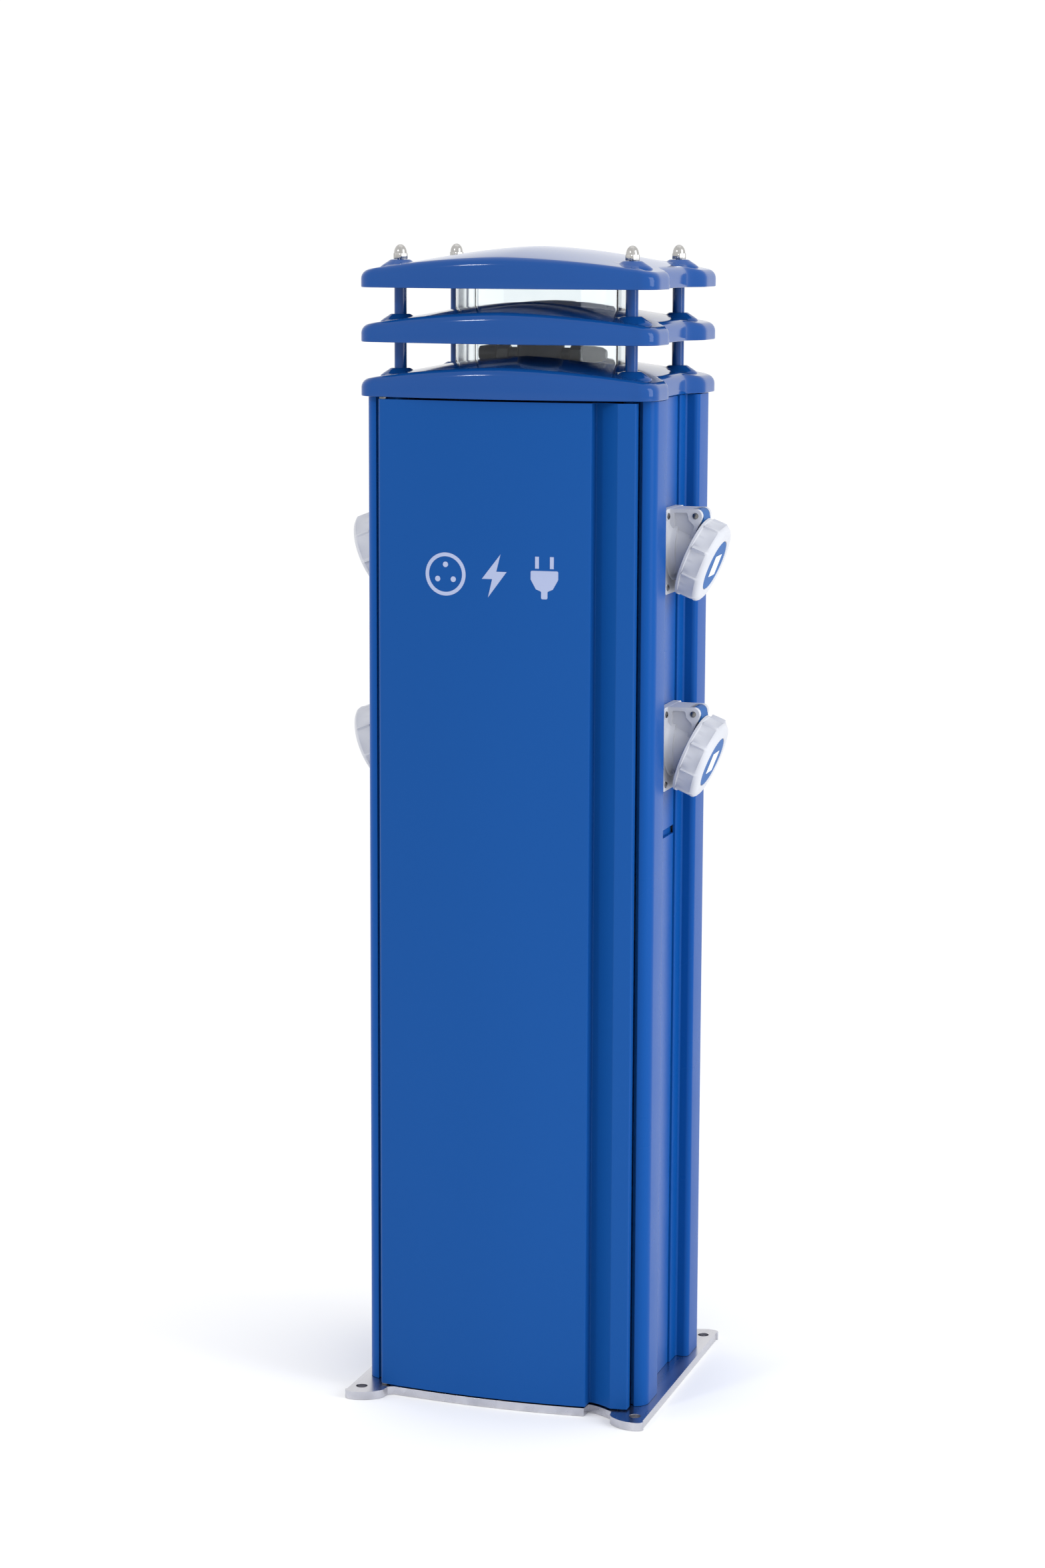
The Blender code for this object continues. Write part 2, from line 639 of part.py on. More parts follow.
def socket_housing():
    """Flange, hinge bracket and the plug's tube, in one moulding."""
    plate = rectangle(FLANGE_HALF_WIDTH, FLANGE_HALF_HEIGHT, 0.005)
    flange = extruded([plate], FLANGE_BACK, FLANGE_FACE, ALONG_X)
    bracket = extruded([bracket_outline()], -CHEEK_HALF_WIDTH, CHEEK_HALF_WIDTH, ALONG_Y)
    bracket = cut(bracket, cheek_pocket(-1), cheek_pocket(1))
    tube = turned([(TUBE_RADIUS, -0.060), (TUBE_RADIUS, -0.0095)], 24, turn=MOUTH)
    bore = turned([(BORE_RADIUS, -0.080), (BORE_RADIUS, 0.010)], 24, turn=MOUTH)
    near, deep = -0.0310, LID_PIN_AXIAL - KNUCKLE_RADIUS - 0.0010
    slot_outline = [(-0.060, deep), (near, deep), (near, 0.010), (-0.060, 0.010)]
    slot_half = KNUCKLE_HALF_WIDTH + 0.0005
    slot = extruded([slot_outline], -slot_half, slot_half, MOUTH @ ALONG_Y)
    pin_hole = bar((LID_PIN.x, -0.04, LID_PIN.z), (LID_PIN.x, 0.04, LID_PIN.z), LID_PIN_RADIUS + GAP, 12)
    return cut(joined(flange, bracket, tube), bore, slot, pin_hole)


def socket_insert():
    """The contact carrier: a collar at the back and a core with three contact holes."""
    core, face = 0.0175, -0.0200
    profile = [(0.0218, -0.0640), (0.0218, -0.0560), (core, -0.0555), (core, face)]
    body = turned(profile, 20)
    for clock, radius in ((180.0, 0.0031), (60.0, 0.0026), (-60.0, 0.0026)):
        angle = math.radians(clock)
        x, y = 0.0100 * math.cos(angle), 0.0100 * math.sin(angle)
        body = cut(body, bar((x, y, -0.048), (x, y, 0.0), radius, 12))
    body.transform(MOUTH)
    return body


def lid():
    """The hinged lid: centre boss, disc, skirt over the tube and the hinge knuckle."""
    disc, skirt, end = 0.0346, 0.0316, -0.0233
    profile = [(skirt, -0.0080), (skirt, end), (disc, end), (disc, -0.0045), (0.0241, -0.0045)]
    profile = [(0.010, -0.0080)] + profile + [(0.0241, 0.0005), (0.010, 0.0005)]
    shell = turned(profile, 24)
    knuckle = [(-x, y) for x, y in arc(LID_PIN_RADIAL, LID_PIN_AXIAL, KNUCKLE_RADIUS, 60, -150, 10)]
    arm = [(-skirt - 0.0004, -0.0280), (-skirt - 0.0004, -0.0228), (-0.0375, -0.0228)]
    hinge = extruded([arm + knuckle], -KNUCKLE_HALF_WIDTH, KNUCKLE_HALF_WIDTH, ALONG_Y)
    body = joined(shell, hinge)
    hole_ends = [(-LID_PIN_RADIAL, side, LID_PIN_AXIAL) for side in (-0.03, 0.03)]
    body = cut(body, bar(*hole_ends, LID_PIN_RADIUS + GAP, 12))
    body.transform(MOUTH)
    return body


def locking_ring():
    """The bayonet ring that turns on the lid."""
    inner, mouth = 0.0350, 0.0245
    profile = [(0.0385, -0.0225), (RING_RADIUS, -0.0205), (RING_RADIUS, -0.0035), (0.0350, 0.0008)]
    profile += [(mouth, 0.0008), (mouth, -0.0042), (inner, -0.0042), (inner, -0.0225)]
    return turned(profile, 26, closed=True, turn=MOUTH)


def add_sockets(finish):
    mouth_centre = Vector(MOUTH_CENTRE)
    for side, turn in SOCKET_TURNS.items():
        for level, height in SOCKET_HEIGHTS.items():
            place = Matrix.Rotation(turn, 4, "Z") @ Matrix.Translation((SOCKET_PLANE, 0.0, height))
            tag = f"{side}_{level}"
            add_part(f"socket_housing_{tag}", socket_housing(), finish["pale_plastic"], place=place)
            add_part(f"contact_carrier_{tag}", socket_insert(), finish["blue_plastic"], place=place)
            add_part(f"socket_lid_{tag}", lid(), finish["blue_plastic"], LID_PIN, place)
            add_part(f"locking_ring_{tag}", locking_ring(), finish["pale_plastic"], mouth_centre, place)
            half = CHEEK_HALF_WIDTH - 0.0002
            pin = bar((LID_PIN.x, -half, LID_PIN.z), (LID_PIN.x, half, LID_PIN.z), LID_PIN_RADIUS, 12)
            add_part(f"lid_pin_{tag}", pin, finish["stainless"], LID_PIN, place)


# ---------------------------------------------------------------- gear inside

def rail_outline():
    """The 35 mm top-hat rail, lying open towards the mounting plate."""
    sheet, half, inner, depth = 0.0010, 0.0175, 0.0125, 0.0075
    back = PLATE_Y - GAP
    front = back - depth
    return [
        (front, half), (front + sheet, half), (front + sheet, inner + sheet), (back, inner + sheet),
        (back, -inner - sheet), (front + sheet, -inner - sheet), (front + sheet, -half), (front, -half),
        (front, -inner), (back - sheet, -inner), (back - sheet, inner), (front, inner),
    ]


def breaker():
    """A two-pole breaker clipped over the rail, with a slot for its lever."""
    back = PLATE_Y - 0.0009
    hook = PLATE_Y - 0.0072
    shelf = back - 0.0440
    nose = back - 0.0580
    outline = [
        (back, 0.0425), (shelf, 0.0425), (shelf, 0.0225), (nose, 0.0225), (nose, -0.0225),
        (shelf, -0.0225), (shelf, -0.0425), (back, -0.0425), (back, -0.0180), (hook - 0.0010, -0.0180),
        (hook - 0.0010, 0.0180), (back, 0.0180),
    ]
    body = extruded([outline], -BREAKER_HALF_WIDTH, BREAKER_HALF_WIDTH, ALONG_X)
    well = extruded([circle(LEVER_Y, 0.0, LEVER_RADIUS + 0.0006, 16)], -0.0096, 0.0096, ALONG_X)
    return cut(body, well)


def breaker_lever():
    """A drum with its finger tab, switched on when it points up."""
    drum = arc(LEVER_Y, 0.0, LEVER_RADIUS, 180, 450, 14)
    tab = [(LEVER_Y - 0.0060, 0.0128), (LEVER_Y - 0.0090, 0.0110)]
    return extruded([drum + tab], -0.0090, 0.0090, ALONG_X)


def terminal_block():
    """A row of five feed-through terminals with gaps between their walls."""
    pitch, deep, shallow = 0.016, 0.030, 0.018
    back = PLATE_Y - GAP
    outline = [(-2.5 * pitch - 0.002, back)]
    for index in range(5):
        left = -2.5 * pitch + index * pitch
        outline += [(left - 0.002, back - deep), (left + 0.002, back - deep)]
        outline += [(left + 0.002, back - shallow), (left + pitch - 0.002, back - shallow)]
    right = 2.5 * pitch
    outline += [(right - 0.002, back - deep), (right + 0.002, back - deep), (right + 0.002, back)]
    return extruded([outline], 0.215, 0.260)


def add_gear(finish):
    thickness = 0.0022
    sheet = extruded([rectangle(0.1237, 0.300, 0.004)], 0.0, thickness, ALONG_Y)
    place = Matrix.Translation((0.0, PLATE_Y + thickness, 0.480))
    add_part("mounting_plate", sheet, finish["galvanised"], place=place)
    rail = extruded([rail_outline()], -RAIL_HALF_LENGTH, RAIL_HALF_LENGTH, ALONG_X)
    level = Matrix.Translation((0.0, 0.0, RAIL_Z))
    add_part("mounting_rail", rail, finish["galvanised"], place=level)
    for side, sign in (("right", 1), ("left", -1)):
        place = Matrix.Translation((sign * BREAKER_X, 0.0, RAIL_Z))
        add_part(f"breaker_{side}", breaker(), finish["white_plastic"], place=place)
        pivot = (0.0, LEVER_Y, 0.0)
        add_part(f"breaker_lever_{side}", breaker_lever(), finish["dark_plastic"], pivot, place)
    add_part("terminal_block", terminal_block(), finish["dark_plastic"])


def clear_scene():
    for item in list(bpy.data.objects):
        bpy.data.objects.remove(item)


def main():
    clear_scene()
    finish = make_materials()
    add_cabinet(finish)
    add_light_head(finish)
    add_sockets(finish)
    add_gear(finish)


main()
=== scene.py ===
"""The looks of the charging post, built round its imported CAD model."""
import json
import math

import bmesh
import bpy
from mathutils import Matrix, Vector


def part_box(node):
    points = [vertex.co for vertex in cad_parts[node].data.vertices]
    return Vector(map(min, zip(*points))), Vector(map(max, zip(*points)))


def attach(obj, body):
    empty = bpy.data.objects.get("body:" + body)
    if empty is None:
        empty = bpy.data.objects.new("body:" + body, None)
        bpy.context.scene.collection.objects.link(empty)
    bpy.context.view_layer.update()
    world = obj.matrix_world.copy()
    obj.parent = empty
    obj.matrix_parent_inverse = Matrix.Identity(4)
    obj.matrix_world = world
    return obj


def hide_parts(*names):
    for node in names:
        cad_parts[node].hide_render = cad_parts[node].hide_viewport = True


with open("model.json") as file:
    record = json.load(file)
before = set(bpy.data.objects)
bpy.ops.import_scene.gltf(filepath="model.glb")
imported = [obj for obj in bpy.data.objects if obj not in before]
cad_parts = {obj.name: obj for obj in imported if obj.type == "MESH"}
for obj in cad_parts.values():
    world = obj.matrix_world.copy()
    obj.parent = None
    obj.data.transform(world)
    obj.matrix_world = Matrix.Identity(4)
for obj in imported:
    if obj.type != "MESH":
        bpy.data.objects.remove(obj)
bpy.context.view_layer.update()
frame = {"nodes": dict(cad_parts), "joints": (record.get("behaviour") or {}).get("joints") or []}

SIDES = {"right": 1.0, "left": -1.0}
LEVELS = ("upper", "lower")
CORNERS = {
    "front_right": (1.0, -1.0),
    "front_left": (-1.0, -1.0),
    "rear_right": (1.0, 1.0),
    "rear_left": (-1.0, 1.0),
}
JOINTS = {joint["name"]: joint for joint in frame["joints"]}

# Plan of the cabinet and the hats, shared by several pieces.
FRONT_CROWN = -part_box("front_door")[0].y
FRONT_RADIUS = 0.78
COLUMN_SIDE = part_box("column_front_right")[1].x
PANEL_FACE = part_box("socket_panel_right")[1].x
SOCKET_PLANE = 0.128
HAT_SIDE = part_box("hat_upper")[1].x
HAT_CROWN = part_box("hat_upper")[1].y
HATS = ("hat_lower", "hat_middle", "hat_upper")
HAT_LOWS = [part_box(name)[0].z for name in HATS]
HAT_RECESS = SOCKET_PLANE + 0.0025
HAT_FRONT_RADIUS = 0.508
HAT_LIP = 0.015
HAT_RISE = 0.023
HAT_WALL = 0.004
HAT_ROUND = 0.008
POST_X = 0.112
POST_Y = 0.081
STRIP_HALF = 0.0360

# The sockets' own frame: X out of the side panel, Z up, and the mouth tilted down.
MOUTH_TILT = math.radians(22.0)
MOUTH_CENTRE = Vector((0.0435, 0.0, -0.0135))
MOUTH = Matrix.Translation(MOUTH_CENTRE) @ Matrix.Rotation(math.pi / 2 + MOUTH_TILT, 4, "Y")
LID_PIN_RADIAL = 0.0384
LID_PIN_AXIAL = -0.0308
LID_PIN = MOUTH @ Vector((-LID_PIN_RADIAL, 0.0, LID_PIN_AXIAL))
SCREW_PLACES = [(y, z) for y in (-0.0265, 0.0265) for z in (-0.0335, 0.0335)]
BOSS_TOP = 0.0054
LABEL_TILT = 0.06
RING_TWISTS = {"right_upper": 4.33, "right_lower": 2.85, "left_upper": 1.36, "left_lower": 2.03}

ALONG_Y = Matrix.Rotation(math.radians(90.0), 4, "X")
ALONG_X = Matrix(((0, 0, 1, 0), (1, 0, 0, 0), (0, 1, 0, 0), (0, 0, 0, 1)))


# ---------------------------------------------------------------- materials

def shader_of(material):
    return material.node_tree.nodes["Principled BSDF"]


def new_material(name, roughness, metallic=0.0, **sockets):
    """A Principled material whose constant values sit on the shader's own sockets."""
    material = bpy.data.materials.new(name)
    material.use_nodes = True
    shader = shader_of(material)
    shader.inputs["Roughness"].default_value = roughness
    shader.inputs["Metallic"].default_value = metallic
    for socket, value in sockets.items():
        shader.inputs[socket.replace("_", " ")].default_value = value
    return material


def noise(material, scale, detail, stretch=(1.0, 1.0, 1.0)):
    """A noise texture in the object's own space."""
    tree = material.node_tree
    place = tree.nodes.new("ShaderNodeTexCoord")
    mapping = tree.nodes.new("ShaderNodeMapping")
    mapping.inputs["Scale"].default_value = stretch
    texture = tree.nodes.new("ShaderNodeTexNoise")
    texture.inputs["Scale"].default_value = scale
    texture.inputs["Detail"].default_value = detail
    tree.links.new(place.outputs["Object"], mapping.inputs["Vector"])
    tree.links.new(mapping.outputs["Vector"], texture.inputs["Vector"])
    return texture.outputs["Fac"]


def ramp(material, factor, low, high, first, second):
    """Maps a 0 to 1 factor to a blend of two colours between two stops."""
    tree = material.node_tree
    node = tree.nodes.new("ShaderNodeValToRGB")
    node.color_ramp.elements[0].position = low
    node.color_ramp.elements[1].position = high
    node.color_ramp.elements[0].color = (*first, 1.0)
    node.color_ramp.elements[1].color = (*second, 1.0)
    tree.links.new(factor, node.inputs["Fac"])
    return node.outputs["Color"]


def map_range(material, factor, low, high):
    """Maps a 0 to 1 factor to a range of numbers."""
    tree = material.node_tree
    node = tree.nodes.new("ShaderNodeMapRange")
    node.inputs["To Min"].default_value = low
    node.inputs["To Max"].default_value = high
    tree.links.new(factor, node.inputs["Value"])
    return node.outputs["Result"]


def bump(material, height, strength, distance):
    """A bump node driven by a height factor."""
    tree = material.node_tree
    node = tree.nodes.new("ShaderNodeBump")
    node.inputs["Strength"].default_value = strength
    node.inputs["Distance"].default_value = distance
    tree.links.new(height, node.inputs["Height"])
    return node.outputs["Normal"]


def link(material, output, socket):
    """Feed one of the shader's sockets."""
    material.node_tree.links.new(output, shader_of(material).inputs[socket])


def coated(name, deep, light, roughness, peel, shine):
    """Powder coat: orange peel, faint colour drift and uneven gloss."""
    material = new_material(name, roughness, Specular_IOR_Level=shine)
    drift = noise(material, 3.0, 2.0, (1.0, 1.0, 0.25))
    link(material, ramp(material, drift, 0.30, 0.75, deep, light), "Base Color")
    cloud = noise(material, 14.0, 3.0)
    link(material, map_range(material, cloud, roughness - 0.05, roughness + 0.06), "Roughness")
    skin = noise(material, 420.0, 1.0)
    link(material, bump(material, skin, peel, 0.0004), "Normal")
    return material


def moulded(name, deep, light, roughness, grain, shine):
    """Moulded plastic: fine spark texture with soft flow clouds."""
    material = new_material(name, roughness, Specular_IOR_Level=shine)
    flow = noise(material, 22.0, 4.0)
    link(material, ramp(material, flow, 0.30, 0.72, deep, light), "Base Color")
    cloud = noise(material, 45.0, 2.0)
    link(material, map_range(material, cloud, roughness - 0.05, roughness + 0.07), "Roughness")
    spark = noise(material, 1500.0, 2.0)
    link(material, bump(material, spark, grain, 0.0002), "Normal")
    return material


def metal(name, deep, light, roughness, brush, stretch, scale):
    """Bare metal with a brushed or rolled grain."""
    material = new_material(name, roughness, 1.0)
    grain = noise(material, scale, 6.0, stretch)
    link(material, ramp(material, grain, 0.30, 0.70, deep, light), "Base Color")
    link(material, map_range(material, grain, roughness - 0.08, roughness + 0.10), "Roughness")
    link(material, bump(material, grain, brush, 0.0002), "Normal")
    return material


def clear_plastic():
    material = new_material("clear", 0.06, Transmission_Weight=1.0, IOR=1.30)
    haze = noise(material, 25.0, 3.0)
    link(material, ramp(material, haze, 0.2, 0.8, (0.86, 0.91, 0.93), (0.95, 0.975, 0.98)), "Base Color")
    link(material, map_range(material, haze, 0.03, 0.10), "Roughness")
    return material


# Powder coat: deep and light colour, roughness, orange peel, specular level.
COATS = {
    "blue_coat": ((0.004, 0.064, 0.262), (0.006, 0.073, 0.292), 0.30, 0.08, 0.10),
    "blue_column": ((0.003, 0.066, 0.285), (0.005, 0.075, 0.315), 0.28, 0.08, 0.07),
    # The side panels' coat: the door's blue painted lighter, as painted light falling on the side faces.
    "blue_coat_lit_side": ((0.003, 0.074, 0.320), (0.005, 0.084, 0.350), 0.24, 0.08, 0.34),
    "blue_gloss": ((0.004, 0.058, 0.245), (0.006, 0.066, 0.270), 0.09, 0.03, 0.26),
}
# Moulded plastic: deep and light colour, roughness, grain, specular level.
PLASTICS = {
    "blue_plastic": ((0.018, 0.100, 0.310), (0.022, 0.112, 0.340), 0.40, 0.06, 0.06),
    "pale_plastic": ((0.510, 0.520, 0.560), (0.570, 0.580, 0.620), 0.36, 0.10, 0.20),
    "dark_plastic": ((0.030, 0.030, 0.036), (0.042, 0.042, 0.050), 0.34, 0.10, 0.45),
    "white_plastic": ((0.720, 0.720, 0.700), (0.800, 0.800, 0.780), 0.40, 0.08, 0.40),
    "label": ((0.760, 0.770, 0.800), (0.820, 0.830, 0.850), 0.30, 0.03, 0.30),
    "mark": ((0.330, 0.380, 0.560), (0.360, 0.410, 0.590), 0.40, 0.05, 0.20),
}
# Bare metal: deep and light colour, roughness, brush depth, grain stretch, grain scale.
METALS = {
    "bare_aluminium": ((0.480, 0.480, 0.520), (0.620, 0.620, 0.660), 0.26, 0.15, (1.0, 0.08, 1.0), 60.0),
    "stainless": ((0.400, 0.392, 0.380), (0.500, 0.490, 0.475), 0.14, 0.05, (1.0, 1.0, 0.2), 300.0),
    "screw_steel": ((0.150, 0.147, 0.143), (0.230, 0.226, 0.220), 0.28, 0.05, (1.0, 1.0, 0.2), 300.0),
    "galvanised": ((0.430, 0.440, 0.450), (0.560, 0.570, 0.580), 0.45, 0.05, (1.0, 1.0, 1.0), 60.0),
}


def make_materials():
    finishes = {name: coated(name, *values) for name, values in COATS.items()}
    finishes.update({name: moulded(name, *values) for name, values in PLASTICS.items()})
    finishes.update({name: metal(name, *values) for name, values in METALS.items()})
    finishes["clear"] = clear_plastic()
    return finishes


FINISH = make_materials()


# ---------------------------------------------------------------- shape helpers

def arc(centre_x, centre_y, radius, start, end, steps):
    """Points along a circular arc whose angles are in degrees."""
    points = []
    for step in range(steps + 1):
        angle = math.radians(start + (end - start) * step / steps)
        points.append((centre_x + radius * math.cos(angle), centre_y + radius * math.sin(angle)))
    return points


def circle(centre_x, centre_y, radius, steps):
    return arc(centre_x, centre_y, radius, 0.0, 360.0, steps)[:-1]


def rectangle(half_x, half_y):
    return [(half_x, half_y), (-half_x, half_y), (-half_x, -half_y), (half_x, -half_y)]


def rounded(points, radius, steps=4, limit=18.0):
    """Replace each sharp corner of a closed outline with a small arc-like curve."""
    result = []
    for index, point in enumerate(points):
        here = Vector(point)
        back = Vector(points[index - 1]) - here
        ahead = Vector(points[(index + 1) % len(points)]) - here
        turn = 180.0 - math.degrees(back.angle(ahead))
        if turn < limit:
            result.append(point)
            continue
        reach = min(radius * math.tan(math.radians(turn / 2.0)), back.length * 0.45, ahead.length * 0.45)
        start = here + back.normalized() * reach
        end = here + ahead.normalized() * reach
        for step in range(steps + 1):
            share = step / steps
            first = start.lerp(here, share)
            second = here.lerp(end, share)
            result.append(tuple(first.lerp(second, share)))
    return result


def extruded(loops, low, high, turn=Matrix()):
    """A solid from an outline and its holes, between two heights."""
    solid = bmesh.new()
    caps = ([], [])
    for loop in loops:
        rings = [[solid.verts.new((x, y, height)) for x, y in loop] for height in (low, high)]
        for index in range(len(loop)):
            corners = (rings[0][index - 1], rings[0][index], rings[1][index], rings[1][index - 1])
            solid.faces.new(corners)
            for cap, ring in zip(caps, rings):
                cap.append(solid.edges.get((ring[index - 1], ring[index])))
    for cap in caps:
        bmesh.ops.triangle_fill(solid, use_beauty=True, edges=cap)
    bmesh.ops.recalc_face_normals(solid, faces=solid.faces)
    solid.transform(turn)
    return solid


def lofted(rings, closed=False, turn=Matrix()):
    """A solid through rings of equal count: a loop of rings, or a stack with its ends filled."""
    solid = bmesh.new()
    rows = [[solid.verts.new(point) for point in ring] for ring in rings]
    pairs = list(zip(rows, rows[1:]))
    if closed:
        pairs.append((rows[-1], rows[0]))
    for row, following in pairs:
        for index in range(len(row)):
            solid.faces.new((row[index - 1], row[index], following[index], following[index - 1]))
    if not closed:
        for row in (rows[0], rows[-1]):
            middle = sum((vert.co for vert in row), Vector()) / len(row)
            tip = solid.verts.new(middle)
            for index in range(len(row)):
                solid.faces.new((row[index - 1], row[index], tip))
    bmesh.ops.recalc_face_normals(solid, faces=solid.faces)
    solid.transform(turn)
    return solid


def turned(profile, sides=64, closed=False, turn=Matrix()):
    """A solid of revolution about Z from (radius, height) points."""
    rings = [[(x, y, height) for x, y in circle(0, 0, radius, sides)] for radius, height in profile]
    return lofted(rings, closed, turn)


def bar(start, end, radius, sides=32):
    """A cylinder between two points."""
    start, end = Vector(start), Vector(end)
    turn = Matrix.Translation(start) @ (end - start).to_track_quat("Z", "Y").to_matrix().to_4x4()
    return turned([(radius, 0.0), (radius, (end - start).length)], sides, turn=turn)


def make_object(name, solid):
    mesh = bpy.data.meshes.new(name)
    solid.to_mesh(mesh)
    solid.free()
    item = bpy.data.objects.new(name, mesh)
    bpy.context.scene.collection.objects.link(item)
    return item


def combined(body, tool, operation):
    """Join two solids with UNION, or cut the tool from the body with DIFFERENCE."""
    target = make_object("target", body)
    cutter = make_object("cutter", tool)
    modifier = target.modifiers.new("Boolean", "BOOLEAN")
    modifier.operation = operation
    modifier.solver = "EXACT"
    modifier.object = cutter
    bpy.context.view_layer.update()
    result = bmesh.new()
    result.from_object(target, bpy.context.evaluated_depsgraph_get())
    for item in (target, cutter):
        mesh = item.data
        bpy.data.objects.remove(item)
        bpy.data.meshes.remove(mesh)
    return result


def add_piece(name, solid, finish, body="root", bevel=0.0, place=Matrix(), stands_for=(), smooth=35.0):
    """Link a finished piece that rides on a body and hide the CAD parts it stands for."""
    solid.transform(place)
    item = make_object(name, solid)
    item.data.materials.append(FINISH[finish])
    item.data.shade_smooth()
    item.data.set_sharp_from_angle(angle=math.radians(smooth))
    if bevel:
        modifier = item.modifiers.new("Bevel", "BEVEL")
        modifier.width = bevel
        modifier.segments = 3
        modifier.limit_method = "ANGLE"
        modifier.angle_limit = math.radians(40.0)
        modifier.harden_normals = True
    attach(item, body)
    if stands_for:
        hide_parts(*stands_for)
    return item


def steps_between(start, end, count):
    """Evenly spaced numbers from start to end, both included."""
    return [start + (end - start) * step / count for step in range(count + 1)]


# ---------------------------------------------------------------- cabinet

def front_y(x):
    """The front face's shallow arc."""
    return -FRONT_CROWN + x * x / (2.0 * FRONT_RADIUS)


PANEL_EDGE = 0.0865
RIB_EDGE = 0.1100
DOOR_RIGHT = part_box("front_door")[1].x
DOOR_SKIN = 0.003
CHANNEL_FLOOR = -0.1078
DOOR_PIVOT = JOINTS["door_hinge"]["pos_m"]


def channel_y(x):
    """The floor of the grip channel, which climbs from the panel's edge to the rib."""
    share = min(max((x - PANEL_EDGE) / (RIB_EDGE - PANEL_EDGE), 0.0), 1.0)
    return CHANNEL_FLOOR - 0.0110 * share ** 1.6


def door_loops():
    """The door's profile: hinge bead, wide bowed panel, grip channel and closing rib."""
    pivot_x, pivot_y = DOOR_PIVOT[:2]
    bead = arc(pivot_x, pivot_y, 0.0042, 0, 262, 20)
    panel = [(x, front_y(x)) for x in steps_between(pivot_x + 0.0052, PANEL_EDGE, 48)]
    channel = [(x, channel_y(x)) for x in steps_between(PANEL_EDGE + 0.0003, RIB_EDGE - 0.0012, 14)]
    rib = [(x, front_y(x)) for x in steps_between(RIB_EDGE + 0.0004, DOOR_RIGHT, 6)]
    lip = [(DOOR_RIGHT, -0.1065), (DOOR_RIGHT - DOOR_SKIN, -0.1065)]
    rib_back = [(x, front_y(x) + DOOR_SKIN) for x in (DOOR_RIGHT - DOOR_SKIN, RIB_EDGE + 0.0015)]
    channel_back = [(x, channel_y(x) + DOOR_SKIN) for x in steps_between(RIB_EDGE, PANEL_EDGE, 8)]
    wall = [(PANEL_EDGE - DOOR_SKIN, CHANNEL_FLOOR + DOOR_SKIN)]
    xs = steps_between(PANEL_EDGE - DOOR_SKIN, pivot_x + 0.0062, 32)
    panel_back = [(x, front_y(x) + DOOR_SKIN) for x in xs]
    outline = bead + panel + channel + rib + lip + rib_back + channel_back + wall + panel_back
    return [rounded(outline, 0.0009), circle(pivot_x, pivot_y, 0.0022, 20)]


def column_loops():
    """The front right corner profile: an outer tube, a rebate for the panel and a screw port."""
    inner, solid, edge = PANEL_FACE - 0.001, 0.1275, 0.1288
    corner_x, corner_y, radius = 0.1265, -0.0880, 0.014
    first = -math.degrees(math.acos((edge - corner_x) / radius))
    outer = [(edge, corner_y - 0.008)]
    outer += arc(corner_x, corner_y, radius, first, 0, 20)
    outer += arc(COLUMN_SIDE - 0.0055, -0.0605, 0.0055, 0, 90, 10)
    outer += [(solid + 0.0015, -0.0550), (solid, -0.0535), (solid, -0.0335), (inner, -0.0335)]
    outer += [(inner, -POST_Y + 0.0015)]
    outer += arc(POST_X, -POST_Y, 0.0075, 11.5, 348.5, 20)
    outer += [(inner, -POST_Y - 0.0015), (inner, corner_y - 0.008)]
    last = -math.degrees(math.acos((solid - corner_x) / (radius - 0.003)))
    chamber = [(solid, -0.0585), (COLUMN_SIDE - 0.003, -0.0585)]
    chamber += arc(corner_x, corner_y, radius - 0.003, 0, last, 12)
    return [rounded(outer, 0.0006, limit=25.0), chamber, circle(POST_X, -POST_Y, 0.0033, 16)]


def rear_cover_loop():
    """The rear cover's bowed sheet with its two edges turned in."""
    outside = [(x, -front_y(x)) for x in steps_between(DOOR_RIGHT, -DOOR_RIGHT, 60)]
    inner = DOOR_RIGHT - DOOR_SKIN
    inside = [(x, -front_y(x) - DOOR_SKIN) for x in steps_between(-inner, inner, 30)]
    left = [(-DOOR_RIGHT, 0.0985), (-inner, 0.0985)]
    right = [(inner, 0.0985), (DOOR_RIGHT, 0.0985)]
    return rounded(outside + left + inside + right, 0.0012)


def add_cabinet():
    """The door, the rear cover, the corner columns, the side panels and their joint strips."""
    low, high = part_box("front_door")[0].z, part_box("front_door")[1].z
    door = extruded(door_loops(), low, high)
    add_piece("door_skin", door, "blue_coat", "door", 0.0004, stands_for=["front_door"])
    rear = extruded([rear_cover_loop()], low, high)
    add_piece("back_skin", rear, "blue_coat", "root", 0.0004, stands_for=["rear_cover"])
    low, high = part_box("column_front_right")[0].z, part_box("column_front_right")[1].z
    for corner, (sign_x, sign_y) in CORNERS.items():
        loops = [[(sign_x * x, -sign_y * y) for x, y in loop] for loop in column_loops()]
        solid = extruded(loops, low, high)
        add_piece(f"corner_{corner}", solid, "blue_column", stands_for=[f"column_{corner}"])
    for side in SIDES:
        for name in ("socket_panel", "blank_panel"):
            # The side panels take the door's blue coat painted lighter: painted light on the side faces.
            paint(f"{name}_{side}", "blue_coat_lit_side", 0.0003)
        low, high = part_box(f"panel_joint_{side}")
        depth = 0.5 * (high.z - low.z)
        place = Matrix.Translation((0.0, 0.0, low.z + depth))
        outline = rounded(rectangle(STRIP_HALF, depth), 0.002)
        strip = extruded([outline], low.x, high.x, ALONG_X)
        add_piece(f"joint_strip_{side}", strip, "blue_column", place=place,
                  stands_for=[f"panel_joint_{side}"])


def paint(node, finish, bevel=0.0):
    """Give a CAD node that is shown as it is its finished material."""
    item = frame["nodes"][node]
    item.data.materials.clear()
    item.data.materials.append(FINISH[finish])
    if bevel:
        modifier = item.modifiers.new("Bevel", "BEVEL")
        modifier.width = bevel
        modifier.segments = 2
        modifier.limit_method = "ANGLE"
        modifier.angle_limit = math.radians(40.0)


